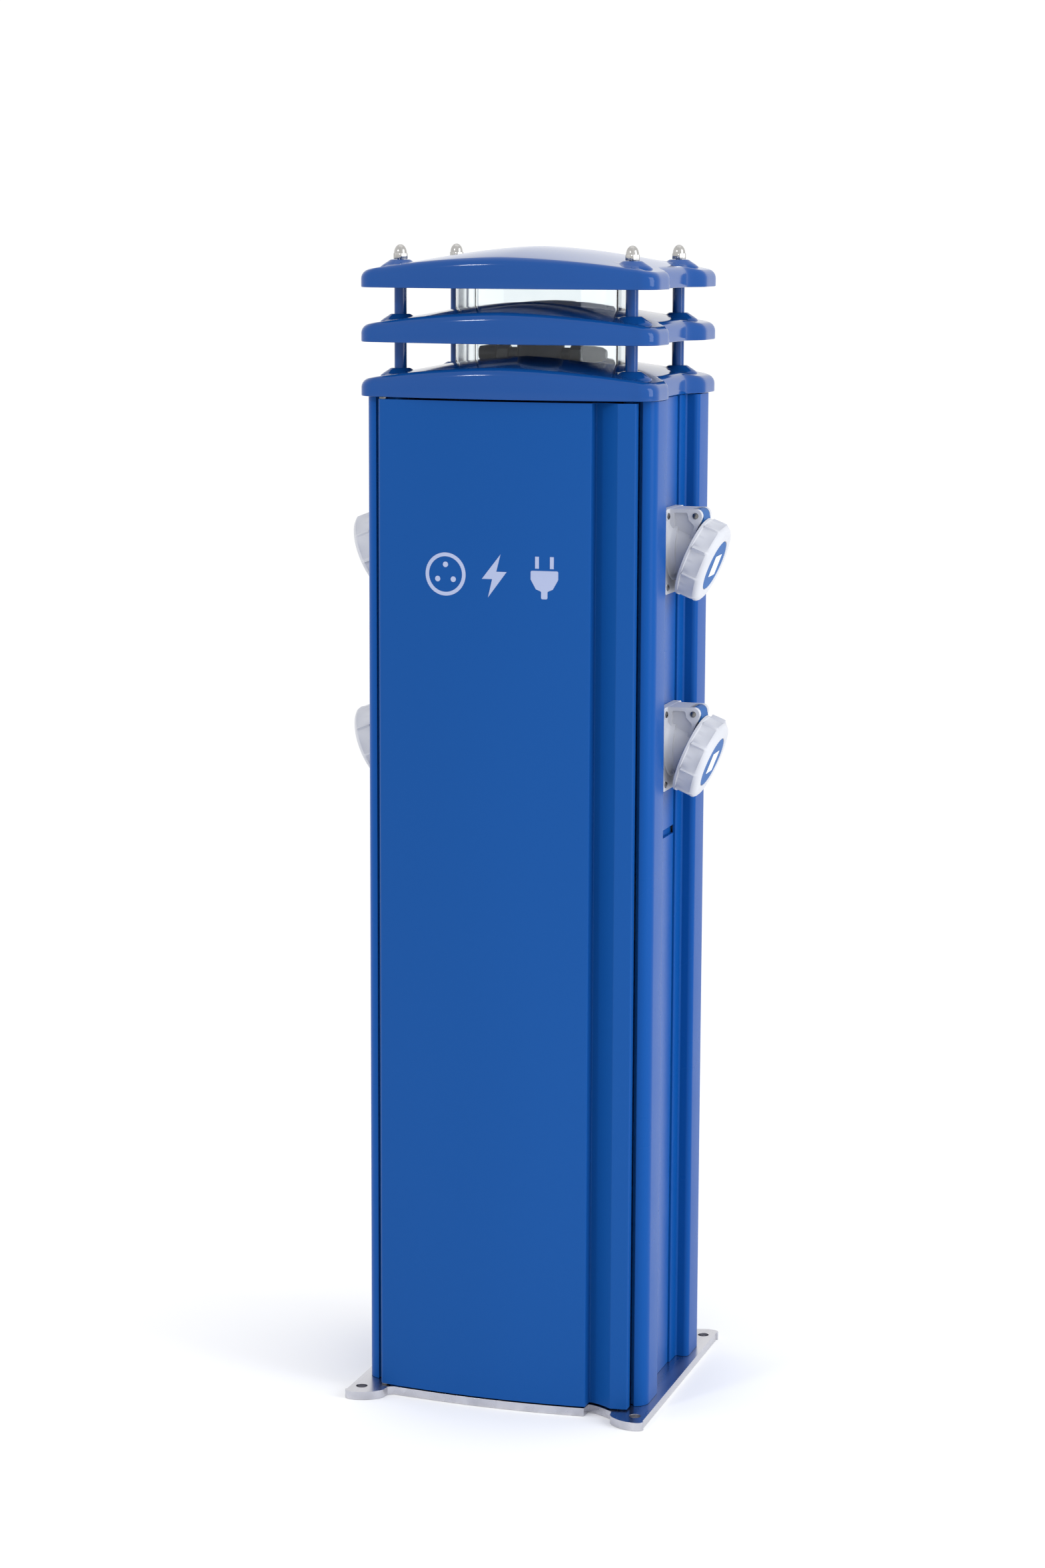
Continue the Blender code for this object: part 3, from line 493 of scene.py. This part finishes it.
def base_half(is_channel_side):
    """The plate's front edge from the middle line out to one ear's outer side."""
    edge = [(x, front_y(x) + 0.0004) for x in steps_between(0.0, PANEL_EDGE - 0.001, 20)]
    if is_channel_side:
        edge += [(x, channel_y(x) - 0.0018) for x in steps_between(PANEL_EDGE, RIB_EDGE, 10)]
    else:
        edge += [(0.094, front_y(0.094)), (0.1070, front_y(0.1070))]
    neck = [(0.1122, -0.1222), (0.1132, -0.1250), (0.1138, -0.1310)]
    ear = [(0.1165, -0.1355), (0.1210, -0.1394), (0.1270, -0.1432), (0.1330, -0.1450)]
    corner = [(0.1385, -0.1460), (0.1445, -0.1456), (0.1485, -0.1435), (0.1500, -0.1395)]
    return edge + rounded(neck + ear + corner, 0.012, 3, 8.0)


def add_base():
    """The floor plate, with a cable window in the middle and a bolt hole in each ear."""
    low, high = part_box("base_plate")[0].z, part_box("base_plate")[1].z
    front = [(-x, y) for x, y in reversed(base_half(False))] + base_half(True)[1:]
    outline = front + [(x, -y) for x, y in reversed(front)]
    window = rounded(rectangle(0.075, 0.050), 0.010, 6)
    bolts = [circle(sx * 0.1375, sy * 0.1270, 0.0055, 40) for sx, sy in CORNERS.values()]
    plate = extruded([outline, window, *bolts], low, high)
    add_piece("floor_plate", plate, "bare_aluminium", "root", 0.0005, stands_for=["base_plate"])


# ---------------------------------------------------------------- light head

def hat_height(x, y):
    """The hat's domed top above its lower edge, highest in the middle."""
    across = 1.0 - min(abs(x) / HAT_SIDE, 1.0) ** 1.6
    along = 1.0 - 0.45 * (y / HAT_CROWN) ** 2
    return HAT_LIP + HAT_RISE * across * along


def hat_quarter():
    """A quarter of the hat's plan: recessed side, S curve, corner lobe and bowed front."""
    quarter = [(HAT_RECESS, y) for y in (0.0, 0.010, 0.020, 0.030)]
    sweep_low, sweep_high = 0.040, 0.068
    for share in steps_between(0.0, 1.0, 14):
        ease = share * share * (3.0 - 2.0 * share)
        y = sweep_low + (sweep_high - sweep_low) * share
        quarter.append((HAT_RECESS + (HAT_SIDE - HAT_RECESS) * ease, y))
    lobe = 0.018
    lobe_x = HAT_SIDE - lobe
    lobe_y = HAT_CROWN - lobe_x ** 2 / (2.0 * HAT_FRONT_RADIUS) - lobe
    quarter += [(HAT_SIDE, y) for y in steps_between(0.075, lobe_y - 0.005, 3)]
    quarter += arc(lobe_x, lobe_y, lobe, 0, 90, 12)
    quarter += [(x, HAT_CROWN - x * x / (2.0 * HAT_FRONT_RADIUS)) for x in steps_between(0.118, 0.0, 16)]
    return quarter


def whole_outline(quarter):
    """Mirror a quarter outline, from the X axis to the Y axis, into a whole loop."""
    upper = quarter + [(-x, y) for x, y in reversed(quarter[:-1])]
    return upper + [(x, -y) for x, y in reversed(upper[1:-1])]


def inset(point, distance):
    """Move a plan point straight towards the middle."""
    x, y = point
    share = 1.0 - distance / math.hypot(x, y)
    return x * share, y * share


def window_point(point):
    """Where the line from the middle to a plan point crosses the diffuser's window."""
    half_x, half_y, chamfer = 0.0812, 0.0472, 0.0296
    x, y = abs(point[0]), abs(point[1])
    reach = min(
        half_x / max(x, 1e-6),
        half_y / max(y, 1e-6),
        (half_x + half_y - chamfer) / (x + y),
    )
    return point[0] * reach, point[1] * reach


def between(first, second, share):
    """The point part of the way from one plan point to another."""
    return first[0] + (second[0] - first[0]) * share, first[1] + (second[1] - first[1]) * share


def hat_outside(outline):
    """Rings up the rounded lower edge, the upright lip and the large top round."""
    foot = 0.0010
    rings = [[(*inset(point, foot), 0.0) for point in outline]]
    rings.append([(*inset(point, foot * 0.3), foot * 0.3) for point in outline])
    rings.append([(x, y, foot) for x, y in outline])
    for angle in steps_between(0.0, 90.0, 8):
        turn = math.radians(angle)
        depth = HAT_ROUND * (1.0 - math.cos(turn))
        drop = HAT_ROUND * (1.0 - math.sin(turn))
        ring = []
        for point in outline:
            x, y = inset(point, depth)
            height = hat_height(*inset(point, HAT_ROUND)) * 0.5 + hat_height(x, y) * 0.5
            ring.append((x, y, height - drop))
        rings.append(ring)
    return rings


def hat_underside(outline, shoulder, middle):
    """Rings down the inside, a wall's thickness below the dome and within the lip."""
    rings = [[(x, y, hat_height(x, y) - HAT_WALL) for x, y in middle]]
    for share in (0.35, 0.7, 1.0):
        ring = [inset(between(second, first, share), HAT_WALL) for first, second in zip(shoulder, middle)]
        rings.append([(x, y, hat_height(x, y) - HAT_WALL) for x, y in ring])
    inside = [inset(point, HAT_WALL) for point in outline]
    rings.append([(x, y, hat_height(x, y) - HAT_ROUND - HAT_WALL) for x, y in inside])
    rings.append([(x, y, 0.0) for x, y in inside])
    return rings


def hat_shell(has_window):
    """The cast hat, closed in the middle or open round the diffuser's window."""
    outline = whole_outline(hat_quarter())
    shoulder = [inset(point, HAT_ROUND) for point in outline]
    if has_window:
        middle = [window_point(point) for point in outline]
    else:
        middle = [between((0.0, 0.0), point, 0.04) for point in outline]
    rings = hat_outside(outline)
    for share in steps_between(0.0, 1.0, 10)[1:]:
        ring = [between(first, second, share) for first, second in zip(shoulder, middle)]
        rings.append([(x, y, hat_height(x, y)) for x, y in ring])
    under = hat_underside(outline, shoulder, middle)
    if has_window:
        return lofted(rings + under, closed=True)
    return lofted(under + rings)


def post_boss(sign_x, sign_y):
    """The flared boss that grips a post, faired into the dome."""
    profile = [(0.0200, 0.0150), (0.0185, 0.0190), (0.0150, 0.0216), (0.0118, 0.0236), (0.0098, 0.0250)]
    profile += [(0.0088, 0.0255), (0.0060, 0.0255)]
    place = Matrix.Translation((sign_x * POST_X, sign_y * POST_Y, 0.0))
    return turned(profile, 48, turn=place)


def add_hats():
    for name, low in zip(HATS, HAT_LOWS):
        place = Matrix.Translation((0.0, 0.0, low))
        shell = hat_shell(name != "hat_upper")
        for sign_x, sign_y in CORNERS.values():
            shell = combined(shell, post_boss(sign_x, sign_y), "UNION")
        number = name.split("_")[1]
        add_piece(f"cast_hat_{number}", shell, "blue_gloss", place=place, stands_for=[name], smooth=50.0)


def acorn_nut():
    """A domed hexagon nut with a washer face."""
    count = 48
    flat, dome, hexagon_high = 0.0065, 0.0060, 0.0055
    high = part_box("acorn_nut_front_left")[1].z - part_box("acorn_nut_front_left")[0].z

    def hexagon(size, height):
        ring = []
        for index in range(count):
            angle = 2.0 * math.pi * index / count
            off_flat = (angle + math.pi / 6.0) % (math.pi / 3.0) - math.pi / 6.0
            radius = min(size / math.cos(off_flat), size * 1.12)
            ring.append((radius * math.cos(angle), radius * math.sin(angle), height))
        return ring

    def ring(radius, height):
        return [(x, y, height) for x, y in circle(0, 0, radius, count)]

    rings = [ring(0.0033, 0.0090), ring(0.0033, 0.0), hexagon(flat * 0.96, 0.0), hexagon(flat, 0.0004)]
    rings += [hexagon(flat, hexagon_high - 0.0006), hexagon(flat * 0.955, hexagon_high)]
    for angle in steps_between(0.0, 80.0, 8):
        lift = math.radians(angle)
        rise = (high - hexagon_high) * math.sin(lift) / math.sin(math.radians(80.0))
        rings.append(ring(dome * math.cos(lift), hexagon_high + rise))
    return lofted(rings)


def post_profile():
    """A threaded rod, from inside the column to inside the nut, in a coloured sleeve."""
    rod, sleeve = 0.0030, 0.00575
    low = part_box("column_front_right")[1].z
    high = HAT_LOWS[2] + 0.0145
    profile = [(rod, 0.9300), (rod, low + 0.0003), (sleeve - 0.00045, low + 0.0003)]
    return profile + [(sleeve, low + 0.0009), (sleeve, high), (rod, high), (rod, high + 0.018)]


def add_posts():
    for corner, (sign_x, sign_y) in CORNERS.items():
        x, y = sign_x * POST_X, sign_y * POST_Y
        solid = turned(post_profile(), 40, turn=Matrix.Translation((x, y, 0.0)))
        add_piece(f"sleeve_{corner}", solid, "blue_gloss", stands_for=[f"post_{corner}"])
        node = f"acorn_nut_{corner}"
        twist = Matrix.Rotation(0.35 + sign_x, 4, "Z")
        place = Matrix.Translation((x, y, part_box(node)[0].z)) @ twist
        add_piece(f"cap_nut_{corner}", acorn_nut(), "stainless", place=place, stands_for=[node])


def add_diffuser():
    """A clear tube with cut corners between the hats."""
    low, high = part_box("diffuser")[0].z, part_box("diffuser")[1].z
    loops = []
    for wall in (0.0, 0.003):
        half_x, half_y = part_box("diffuser")[1].x - wall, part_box("diffuser")[1].y - wall
        chamfer = 0.0292 - wall * 0.4
        quarter = [(half_x, half_y - chamfer), (half_x - chamfer, half_y)]
        loop = quarter + [(-x, y) for x, y in reversed(quarter)]
        loop += [(-x, -y) for x, y in quarter] + [(x, -y) for x, y in reversed(quarter)]
        loops.append(rounded(loop, 0.006, 6))
    tube = extruded(loops, low, high)
    add_piece("clear_tube", tube, "clear", bevel=0.0006, stands_for=["diffuser"])


def add_lamp():
    """The lamp's holder with its two cable glands, the lamp's dome and the tray below."""
    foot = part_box("lamp_holder")[0].z
    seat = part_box("lamp_holder")[1].z
    base = [(0.0270, foot), (0.0270, foot + 0.0055), (0.0262, foot + 0.0062), (0.0232, foot + 0.0066)]
    base += [(0.0225, foot + 0.0076), (0.0225, seat - 0.004), (0.0216, seat - 0.0008), (0.0208, seat)]
    add_piece("lamp_socket", turned(base, 56), "dark_plastic", stands_for=["lamp_holder"])
    middle = foot + 0.0150
    for side, sign in SIDES.items():
        turn = Matrix.Translation((0, 0, middle)) @ Matrix.Rotation(sign * math.pi / 2, 4, "Y")
        dome = [(0.0078, 0.0428), (0.0080, 0.0440), (0.0078, 0.0520), (0.0066, 0.0600), (0.0042, 0.0640)]
        gland = turned([(0.0060, 0.018), (0.0060, 0.0425)] + dome, 40, turn=turn)
        add_piece(f"gland_{side}", gland, "dark_plastic", smooth=50.0)
        nut = turned([(0.0084, 0.030), (0.0092, 0.0308), (0.0092, 0.0412), (0.0084, 0.042)], 6, turn=turn)
        add_piece(f"gland_nut_{side}", nut, "dark_plastic", bevel=0.0004)
    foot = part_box("lamp")[0].z
    radius, straight, rise = 0.0195, 0.0060, 0.0140
    bulb = [(radius, foot), (radius, foot + straight)]
    for angle in steps_between(0.1, 1.45, 12):
        bulb.append((radius * math.cos(angle), foot + straight + rise * math.sin(angle)))
    add_piece("lamp_dome", turned(bulb, 48), "white_plastic", stands_for=["lamp"], smooth=50.0)
    paint("lamp_tray", "galvanised", 0.0003)


# ---------------------------------------------------------------- sockets

def slope_x(height, axial):
    """How far out a plane square to the mouth's axis stands at a given height."""
    out = axial + math.sin(MOUTH_TILT) * (height - MOUTH_CENTRE.z)
    return MOUTH_CENTRE.x + out / math.cos(MOUTH_TILT)


CHEEK_CORNER = 0.0062
CHEEK_PLANE = LID_PIN_AXIAL + CHEEK_CORNER
CHEEK_HALF = 0.0180
SLOT_HALF = 0.0120


def bracket_solid():
    """The hinge bracket: two rimmed cheeks round the slot for the lid's knuckle."""
    back, top, bottom = 0.0045, LID_PIN.z + CHEEK_CORNER, 0.0
    tilt = math.degrees(MOUTH_TILT)
    corner = arc(LID_PIN.x, LID_PIN.z, CHEEK_CORNER, 90, -tilt, 18)
    outer = [(back, bottom), (back, top)] + corner + [(slope_x(bottom, CHEEK_PLANE), bottom)]
    solid = extruded([outer], -CHEEK_HALF, CHEEK_HALF, ALONG_Y)
    rim, depth = 0.0034, 0.0032
    plane, knee = CHEEK_PLANE - rim, LID_PIN.z - 0.0095
    high, neck = top - rim, LID_PIN.x - CHEEK_CORNER - 0.0005
    recess = [(0.0085, 0.002), (slope_x(0.002, plane), 0.002), (slope_x(knee, plane), knee)]
    recess += [(neck, LID_PIN.z - 0.0035), (neck - 0.0010, high), (0.0085, high)]
    recess = rounded(recess, 0.0022, 5, 10.0)
    for near, far in ((CHEEK_HALF - depth, CHEEK_HALF + depth), (-CHEEK_HALF - depth, -CHEEK_HALF + depth)):
        solid = combined(solid, extruded([recess], near, far, ALONG_Y), "DIFFERENCE")
    near, deep = -0.0310, LID_PIN_AXIAL - 0.0072
    past, front = -0.060, 0.010
    slot = [(past, deep), (near, deep), (near, front), (past, front)]
    return combined(solid, extruded([slot], -SLOT_HALF, SLOT_HALF, MOUTH @ ALONG_Y), "DIFFERENCE")


def flange_solids():
    """The mounting flange, its raised collar round the tube and the four screw bosses."""
    back = PANEL_FACE - SOCKET_PLANE + 0.0003
    plate = extruded([rounded(rectangle(0.032, 0.040), 0.005, 8)], back, 0.0047, ALONG_X)
    out = Matrix.Rotation(math.pi / 2, 4, "Y")
    boss = [(0.0046, 0.003), (0.0046, 0.0050), (0.0043, BOSS_TOP), (0.0010, BOSS_TOP)]
    bosses = [turned(boss, 32, turn=Matrix.Translation((0.0, y, z)) @ out) for y, z in SCREW_PLACES]
    flare = [(0.0302, 0.0040), (0.0300, 0.0052), (0.0280, 0.0064), (0.0268, 0.0085), (0.0262, 0.0120)]
    flare += [(0.0235, 0.0120), (0.0235, 0.0040)]
    collar = turned(flare, 64, True, Matrix.Translation((0.0, 0.0, 0.0016)) @ out)
    return plate, bosses, collar


def slotted_screw(radius, turn, twist):
    """A round-headed screw with a straight slot, standing up along Z of its own frame."""
    head = [(radius, 0.0), (radius, 0.0006), (radius * 0.93, 0.0011), (radius * 0.6, 0.0016)]
    head.append((radius * 0.2, 0.0018))
    solid = turned(head, 28)
    groove = extruded([rectangle(radius * 1.3, 0.00045)], 0.0009, 0.004, Matrix.Rotation(twist, 4, "Z"))
    solid = combined(solid, groove, "DIFFERENCE")
    solid.transform(turn)
    return solid


def grip_radius(angle, full):
    """The ring's outside: nine slanting facets that end in small ledges, one of them tall."""
    segment = 2.0 * math.pi / 9.0
    number, share = divmod(angle % (2.0 * math.pi), segment)
    share /= segment
    chord = math.cos(segment / 2.0) / math.cos(share * segment - segment / 2.0)
    base = full * (0.55 + 0.45 * chord)
    ledge = 0.0030 if number == 0 else 0.0013
    rise = max(0.0, 1.0 - abs(share - 0.05) / 0.055)
    return base + ledge * min(rise * 1.5, 1.0) - 0.0004


def ring_solid():
    """The bayonet ring: grip facets, rear rim band, broad front bevel and its bore."""
    count = 192
    stations = [
        (0.0378, -0.0225, 0.0), (0.0386, -0.0219, 0.0), (0.0386, -0.0196, 0.0), (0.0380, -0.0191, 0.2),
        (0.0389, -0.0186, 1.0), (0.0391, -0.0110, 1.0), (0.0391, -0.0052, 1.0), (0.0388, -0.0042, 0.5),
        (0.0378, -0.0026, 0.1), (0.0362, -0.0010, 0.0), (0.0342, 0.0001, 0.0), (0.0315, 0.0006, 0.0),
        (0.0270, 0.0008, 0.0), (0.0250, 0.0007, 0.0), (0.0245, 0.0002, 0.0),
    ]
    inner = [(0.0245, -0.0042, 0.0), (0.0350, -0.0042, 0.0), (0.0350, -0.0225, 0.0)]
    rings = []
    for radius, height, grip in stations + inner:
        ring = []
        for index in range(count):
            angle = 2.0 * math.pi * index / count
            reach = radius + (grip_radius(angle, radius) - radius) * grip
            ring.append((reach * math.cos(angle), reach * math.sin(angle), height))
        rings.append(ring)
    return lofted(rings, closed=True, turn=MOUTH)


def lid_solids():
    """The lid's turned shell, its rubber seal and its hinge arm."""
    boss = [(0.0060, -0.0080), (0.0316, -0.0080), (0.0316, -0.0233), (0.0346, -0.0233), (0.0346, -0.0045)]
    boss += [(0.0241, -0.0045), (0.0241, 0.0001), (0.0236, 0.0005), (0.0060, 0.0005)]
    shell = turned(boss, 96, turn=MOUTH)
    profile = [(0.0200, -0.0080), (0.0200, -0.0088), (0.0290, -0.0088), (0.0290, -0.0080)]
    seal = turned(profile, 64, True, MOUTH)
    knuckle = [(-x, y) for x, y in arc(LID_PIN_RADIAL, LID_PIN_AXIAL, 0.0060, 60, -150, 28)]
    arm = [(-0.0320, -0.0280), (-0.0320, -0.0228), (-0.0375, -0.0228)]
    hinge = extruded([arm + knuckle], -0.0115, 0.0115, MOUTH @ ALONG_Y)
    return shell, seal, hinge


def carrier():
    """The contact carrier: back collar and a keyed core with three contact holes."""
    core, face = 0.0175, -0.0200
    profile = [(0.0218, -0.0640), (0.0218, -0.0560), (core, -0.0555), (core, face - 0.0008)]
    profile += [(core - 0.0008, face), (0.0060, face)]
    body = turned(profile, 64)
    for clock, radius in ((180.0, 0.0031), (60.0, 0.0026), (-60.0, 0.0026)):
        angle = math.radians(clock)
        x, y = 0.0100 * math.cos(angle), 0.0100 * math.sin(angle)
        body = combined(body, bar((x, y, -0.048), (x, y, 0.0), radius, 24), "DIFFERENCE")
    body.transform(MOUTH)
    return body


def add_socket(side, level):
    """One whole socket: housing, contact carrier, lid with its ring, label and screws."""
    tag = f"{side}_{level}"
    turn = 0.0 if side == "right" else math.pi
    height = JOINTS[f"ring_turn_{tag}"]["pos_m"][2] - MOUTH_CENTRE.z
    place = Matrix.Rotation(turn, 4, "Z") @ Matrix.Translation((SOCKET_PLANE, 0.0, height))
    add_housing(tag, place)
    add_piece(f"carrier_{tag}", carrier(), "blue_plastic", place=place,
              stands_for=[f"contact_carrier_{tag}"])
    ring = ring_solid()
    ring.transform(MOUTH @ Matrix.Rotation(RING_TWISTS[tag], 4, "Z") @ MOUTH.inverted())
    add_piece(f"ring_{tag}", ring, "pale_plastic", f"ring_{tag}", place=place,
              stands_for=[f"locking_ring_{tag}"], smooth=28.0)
    add_lid(tag, place)
    add_socket_screws(tag, place)


def add_lid(tag, place):
    body = f"lid_{tag}"
    shell, seal, hinge = lid_solids()
    add_piece(f"lid_{tag}", shell, "blue_plastic", body, place=place, stands_for=[f"socket_lid_{tag}"])
    add_piece(f"lid_arm_{tag}", hinge, "blue_plastic", body, 0.0006, place)
    add_piece(f"lid_seal_{tag}", seal, "dark_plastic", body, place=place)
    tilt = Matrix.Rotation(LABEL_TILT, 4, "Z")
    outline = rounded(rectangle(0.0105, 0.0098), 0.0008)
    label = extruded([outline], 0.0006, 0.0009, MOUTH @ tilt)
    add_piece(f"lid_label_{tag}", label, "label", body, 0.0001, place)


def add_housing(tag, place):
    """The flange, its bosses and collar, the hinge bracket and the mouth's tube."""
    plate, bosses, collar = flange_solids()
    add_piece(f"flange_{tag}", plate, "pale_plastic", bevel=0.0009, place=place,
              stands_for=[f"socket_housing_{tag}"])
    for number, boss in enumerate(bosses, 1):
        add_piece(f"flange_boss_{number}_{tag}", boss, "pale_plastic", place=place)
    add_piece(f"flange_collar_{tag}", collar, "pale_plastic", place=place, smooth=50.0)
    add_piece(f"bracket_{tag}", bracket_solid(), "pale_plastic", bevel=0.0005, place=place)
    tube = [(0.0222, -0.0600), (0.0245, -0.0600), (0.0245, -0.0102), (0.0240, -0.0095), (0.0228, -0.0095)]
    tube += [(0.0222, -0.0101)]
    add_piece(f"tube_{tag}", turned(tube, 72, True, MOUTH), "pale_plastic", place=place)


def add_socket_screws(tag, place):
    """Flange screws at the corners and the hinge pin's two heads."""
    for number, (y, z) in enumerate(SCREW_PLACES, 1):
        turn = Matrix.Translation((BOSS_TOP, y, z)) @ Matrix.Rotation(math.pi / 2, 4, "Y")
        screw = slotted_screw(0.0031, turn, 0.3 + number * 0.8)
        add_piece(f"flange_screw_{number}_{tag}", screw, "screw_steel", place=place)
    for name, sign in (("front", -1.0), ("rear", 1.0)):
        turn = Matrix.Translation((LID_PIN.x, sign * (CHEEK_HALF - 0.0002), LID_PIN.z))
        turn = turn @ Matrix.Rotation(-sign * math.pi / 2, 4, "X")
        head = slotted_screw(0.0029, turn, 1.2)
        add_piece(f"pin_head_{name}_{tag}", head, "screw_steel", place=place)
    paint(f"lid_pin_{tag}", "stainless")


# ---------------------------------------------------------------- door mark and inner gear

def on_door(solid):
    """Lay a flat solid, drawn in X and Y, on the door's bowed face, with its faces pointing out."""
    for vert in solid.verts:
        x, height, lift = vert.co.x, vert.co.y, vert.co.z
        vert.co = Vector((x, front_y(x) - lift, height))
    bmesh.ops.recalc_face_normals(solid, faces=solid.faces)
    return solid


MARK_X = -0.0045
MARK_Z = 0.7995
MARK_PITCH = 0.048
MARK_HALF = 0.0200


def moved(points, x, y):
    return [(x + point_x, y + point_y) for point_x, point_y in points]


def socket_shapes():
    """A ring round three contact holes."""
    centre = (MARK_X - MARK_PITCH, MARK_Z)
    shapes = [[circle(*centre, MARK_HALF, 64), circle(*centre, MARK_HALF - 0.0035, 64)]]
    for angle in (math.pi / 2, math.pi * 7 / 6, math.pi * 11 / 6):
        x, y = 0.009 * math.cos(angle), 0.009 * math.sin(angle)
        shapes.append([circle(centre[0] + x, centre[1] + y, 0.0026, 24)])
    return shapes


def bolt_shapes():
    """A flash of lightning."""
    outline = [(0.006, MARK_HALF), (-0.012, -0.003), (-0.002, -0.003)]
    outline += [(-0.006, -MARK_HALF), (0.012, 0.004), (0.002, 0.004)]
    return [[moved(outline, MARK_X, MARK_Z)]]


def plug_shapes():
    """A plug's body on a stub of lead, with two pins."""
    x = MARK_X + MARK_PITCH
    half = [(-0.013, 0.006), (-0.013, -0.002), (-0.008, -0.011), (-0.003, -0.013), (-0.003, -MARK_HALF)]
    body = half + [(-point_x, point_y) for point_x, point_y in reversed(half)]
    shapes = [[rounded(moved(body, x, MARK_Z), 0.0015)]]
    for offset in (-0.007, 0.007):
        shapes.append([moved(rectangle(0.0018, 0.0055), x + offset, MARK_Z + 0.0135)])
    return shapes


def add_door_mark():
    """Three plain pictograms, printed on the door's face."""
    shapes = socket_shapes() + bolt_shapes() + plug_shapes()
    for number, loops in enumerate(shapes, 1):
        solid = on_door(extruded(loops, -0.0001, 0.00025))
        add_piece(f"door_mark_{number}", solid, "mark", "door")


def add_gear():
    """Finishes for the inner pieces, which are shown as the CAD model has them."""
    finishes = {
        "mounting_plate": "galvanised",
        "mounting_rail": "galvanised",
        "terminal_block": "dark_plastic",
        "breaker_left": "white_plastic",
        "breaker_right": "white_plastic",
        "breaker_lever_left": "dark_plastic",
        "breaker_lever_right": "dark_plastic",
        "door_catch": "dark_plastic",
    }
    for node, finish in finishes.items():
        paint(node, finish, 0.0004)
    # The door pins are stainless; the dark steel here is painted shade for the gap between the door's top
    # and the hat.
    for node in ("door_pin_lower", "door_pin_upper"):
        paint(node, "screw_steel")


# ---------------------------------------------------------------- stage

def add_stage():
    """A pale floor, which isn't part of the object."""
    floor = extruded([rectangle(6.0, 6.0)], -0.01, -0.0002)
    item = make_object("studio_floor", floor)
    material = new_material("studio_floor", 0.9)
    cloud = noise(material, 2.0, 1.0)
    link(material, ramp(material, cloud, 0.0, 1.0, (0.93, 0.93, 0.94), (0.95, 0.95, 0.95)), "Base Color")
    item.data.materials.append(material)


def add_light(name, place, aim, size, power, colour=(1.0, 1.0, 1.0)):
    """A rectangular softbox pointed at a target."""
    lamp = bpy.data.lights.new(name, "AREA")
    lamp.shape = "RECTANGLE"
    lamp.size, lamp.size_y = size
    lamp.energy = power
    lamp.color = colour
    item = bpy.data.objects.new(name, lamp)
    item.location = place
    item.rotation_euler = (Vector(aim) - Vector(place)).to_track_quat("-Z", "Y").to_euler()
    bpy.context.scene.collection.objects.link(item)


def add_lights():
    """A white surround, a small key light, a cool side light and a soft top light."""
    world = bpy.data.worlds.new("studio")
    world.use_nodes = True
    background = world.node_tree.nodes["Background"]
    background.inputs["Color"].default_value = (1.0, 1.0, 1.0, 1.0)
    background.inputs["Strength"].default_value = 1.06
    bpy.context.scene.world = world
    bpy.context.scene.view_settings.view_transform = "Standard"
    middle = (0.0, 0.0, 0.6)
    add_light("key", (-1.3, -2.6, 2.3), middle, (0.36, 0.24), 16.0)
    add_light("side", (2.9, -0.5, 1.5), middle, (1.4, 2.4), 46.0, (0.92, 0.96, 1.0))
    add_light("top", (0.0, 0.3, 3.0), middle, (2.0, 2.0), 4.0)


def add_camera():
    """A long lens, a little above the hats and to the right, with a slight roll."""
    yaw, pitch, roll = 0.30812, 0.16147, 0.00381
    camera = bpy.data.cameras.new("camera")
    camera.lens = 78.89
    camera.sensor_width = 36.0
    camera.clip_end = 50.0
    item = bpy.data.objects.new("camera", camera)
    item.location = (0.97678, -3.12208, 1.1190)
    aim = Matrix.Rotation(yaw, 3, "Z") @ Matrix.Rotation(math.pi / 2 - pitch, 3, "X")
    item.rotation_euler = (aim @ Matrix.Rotation(roll, 3, "Z")).to_euler()
    bpy.context.scene.collection.objects.link(item)
    bpy.context.scene.camera = item


add_camera()
add_stage()
add_lights()
add_base()
add_cabinet()
add_hats()
add_posts()
add_diffuser()
add_lamp()
for side_name in SIDES:
    for level_name in LEVELS:
        add_socket(side_name, level_name)
add_door_mark()
add_gear()
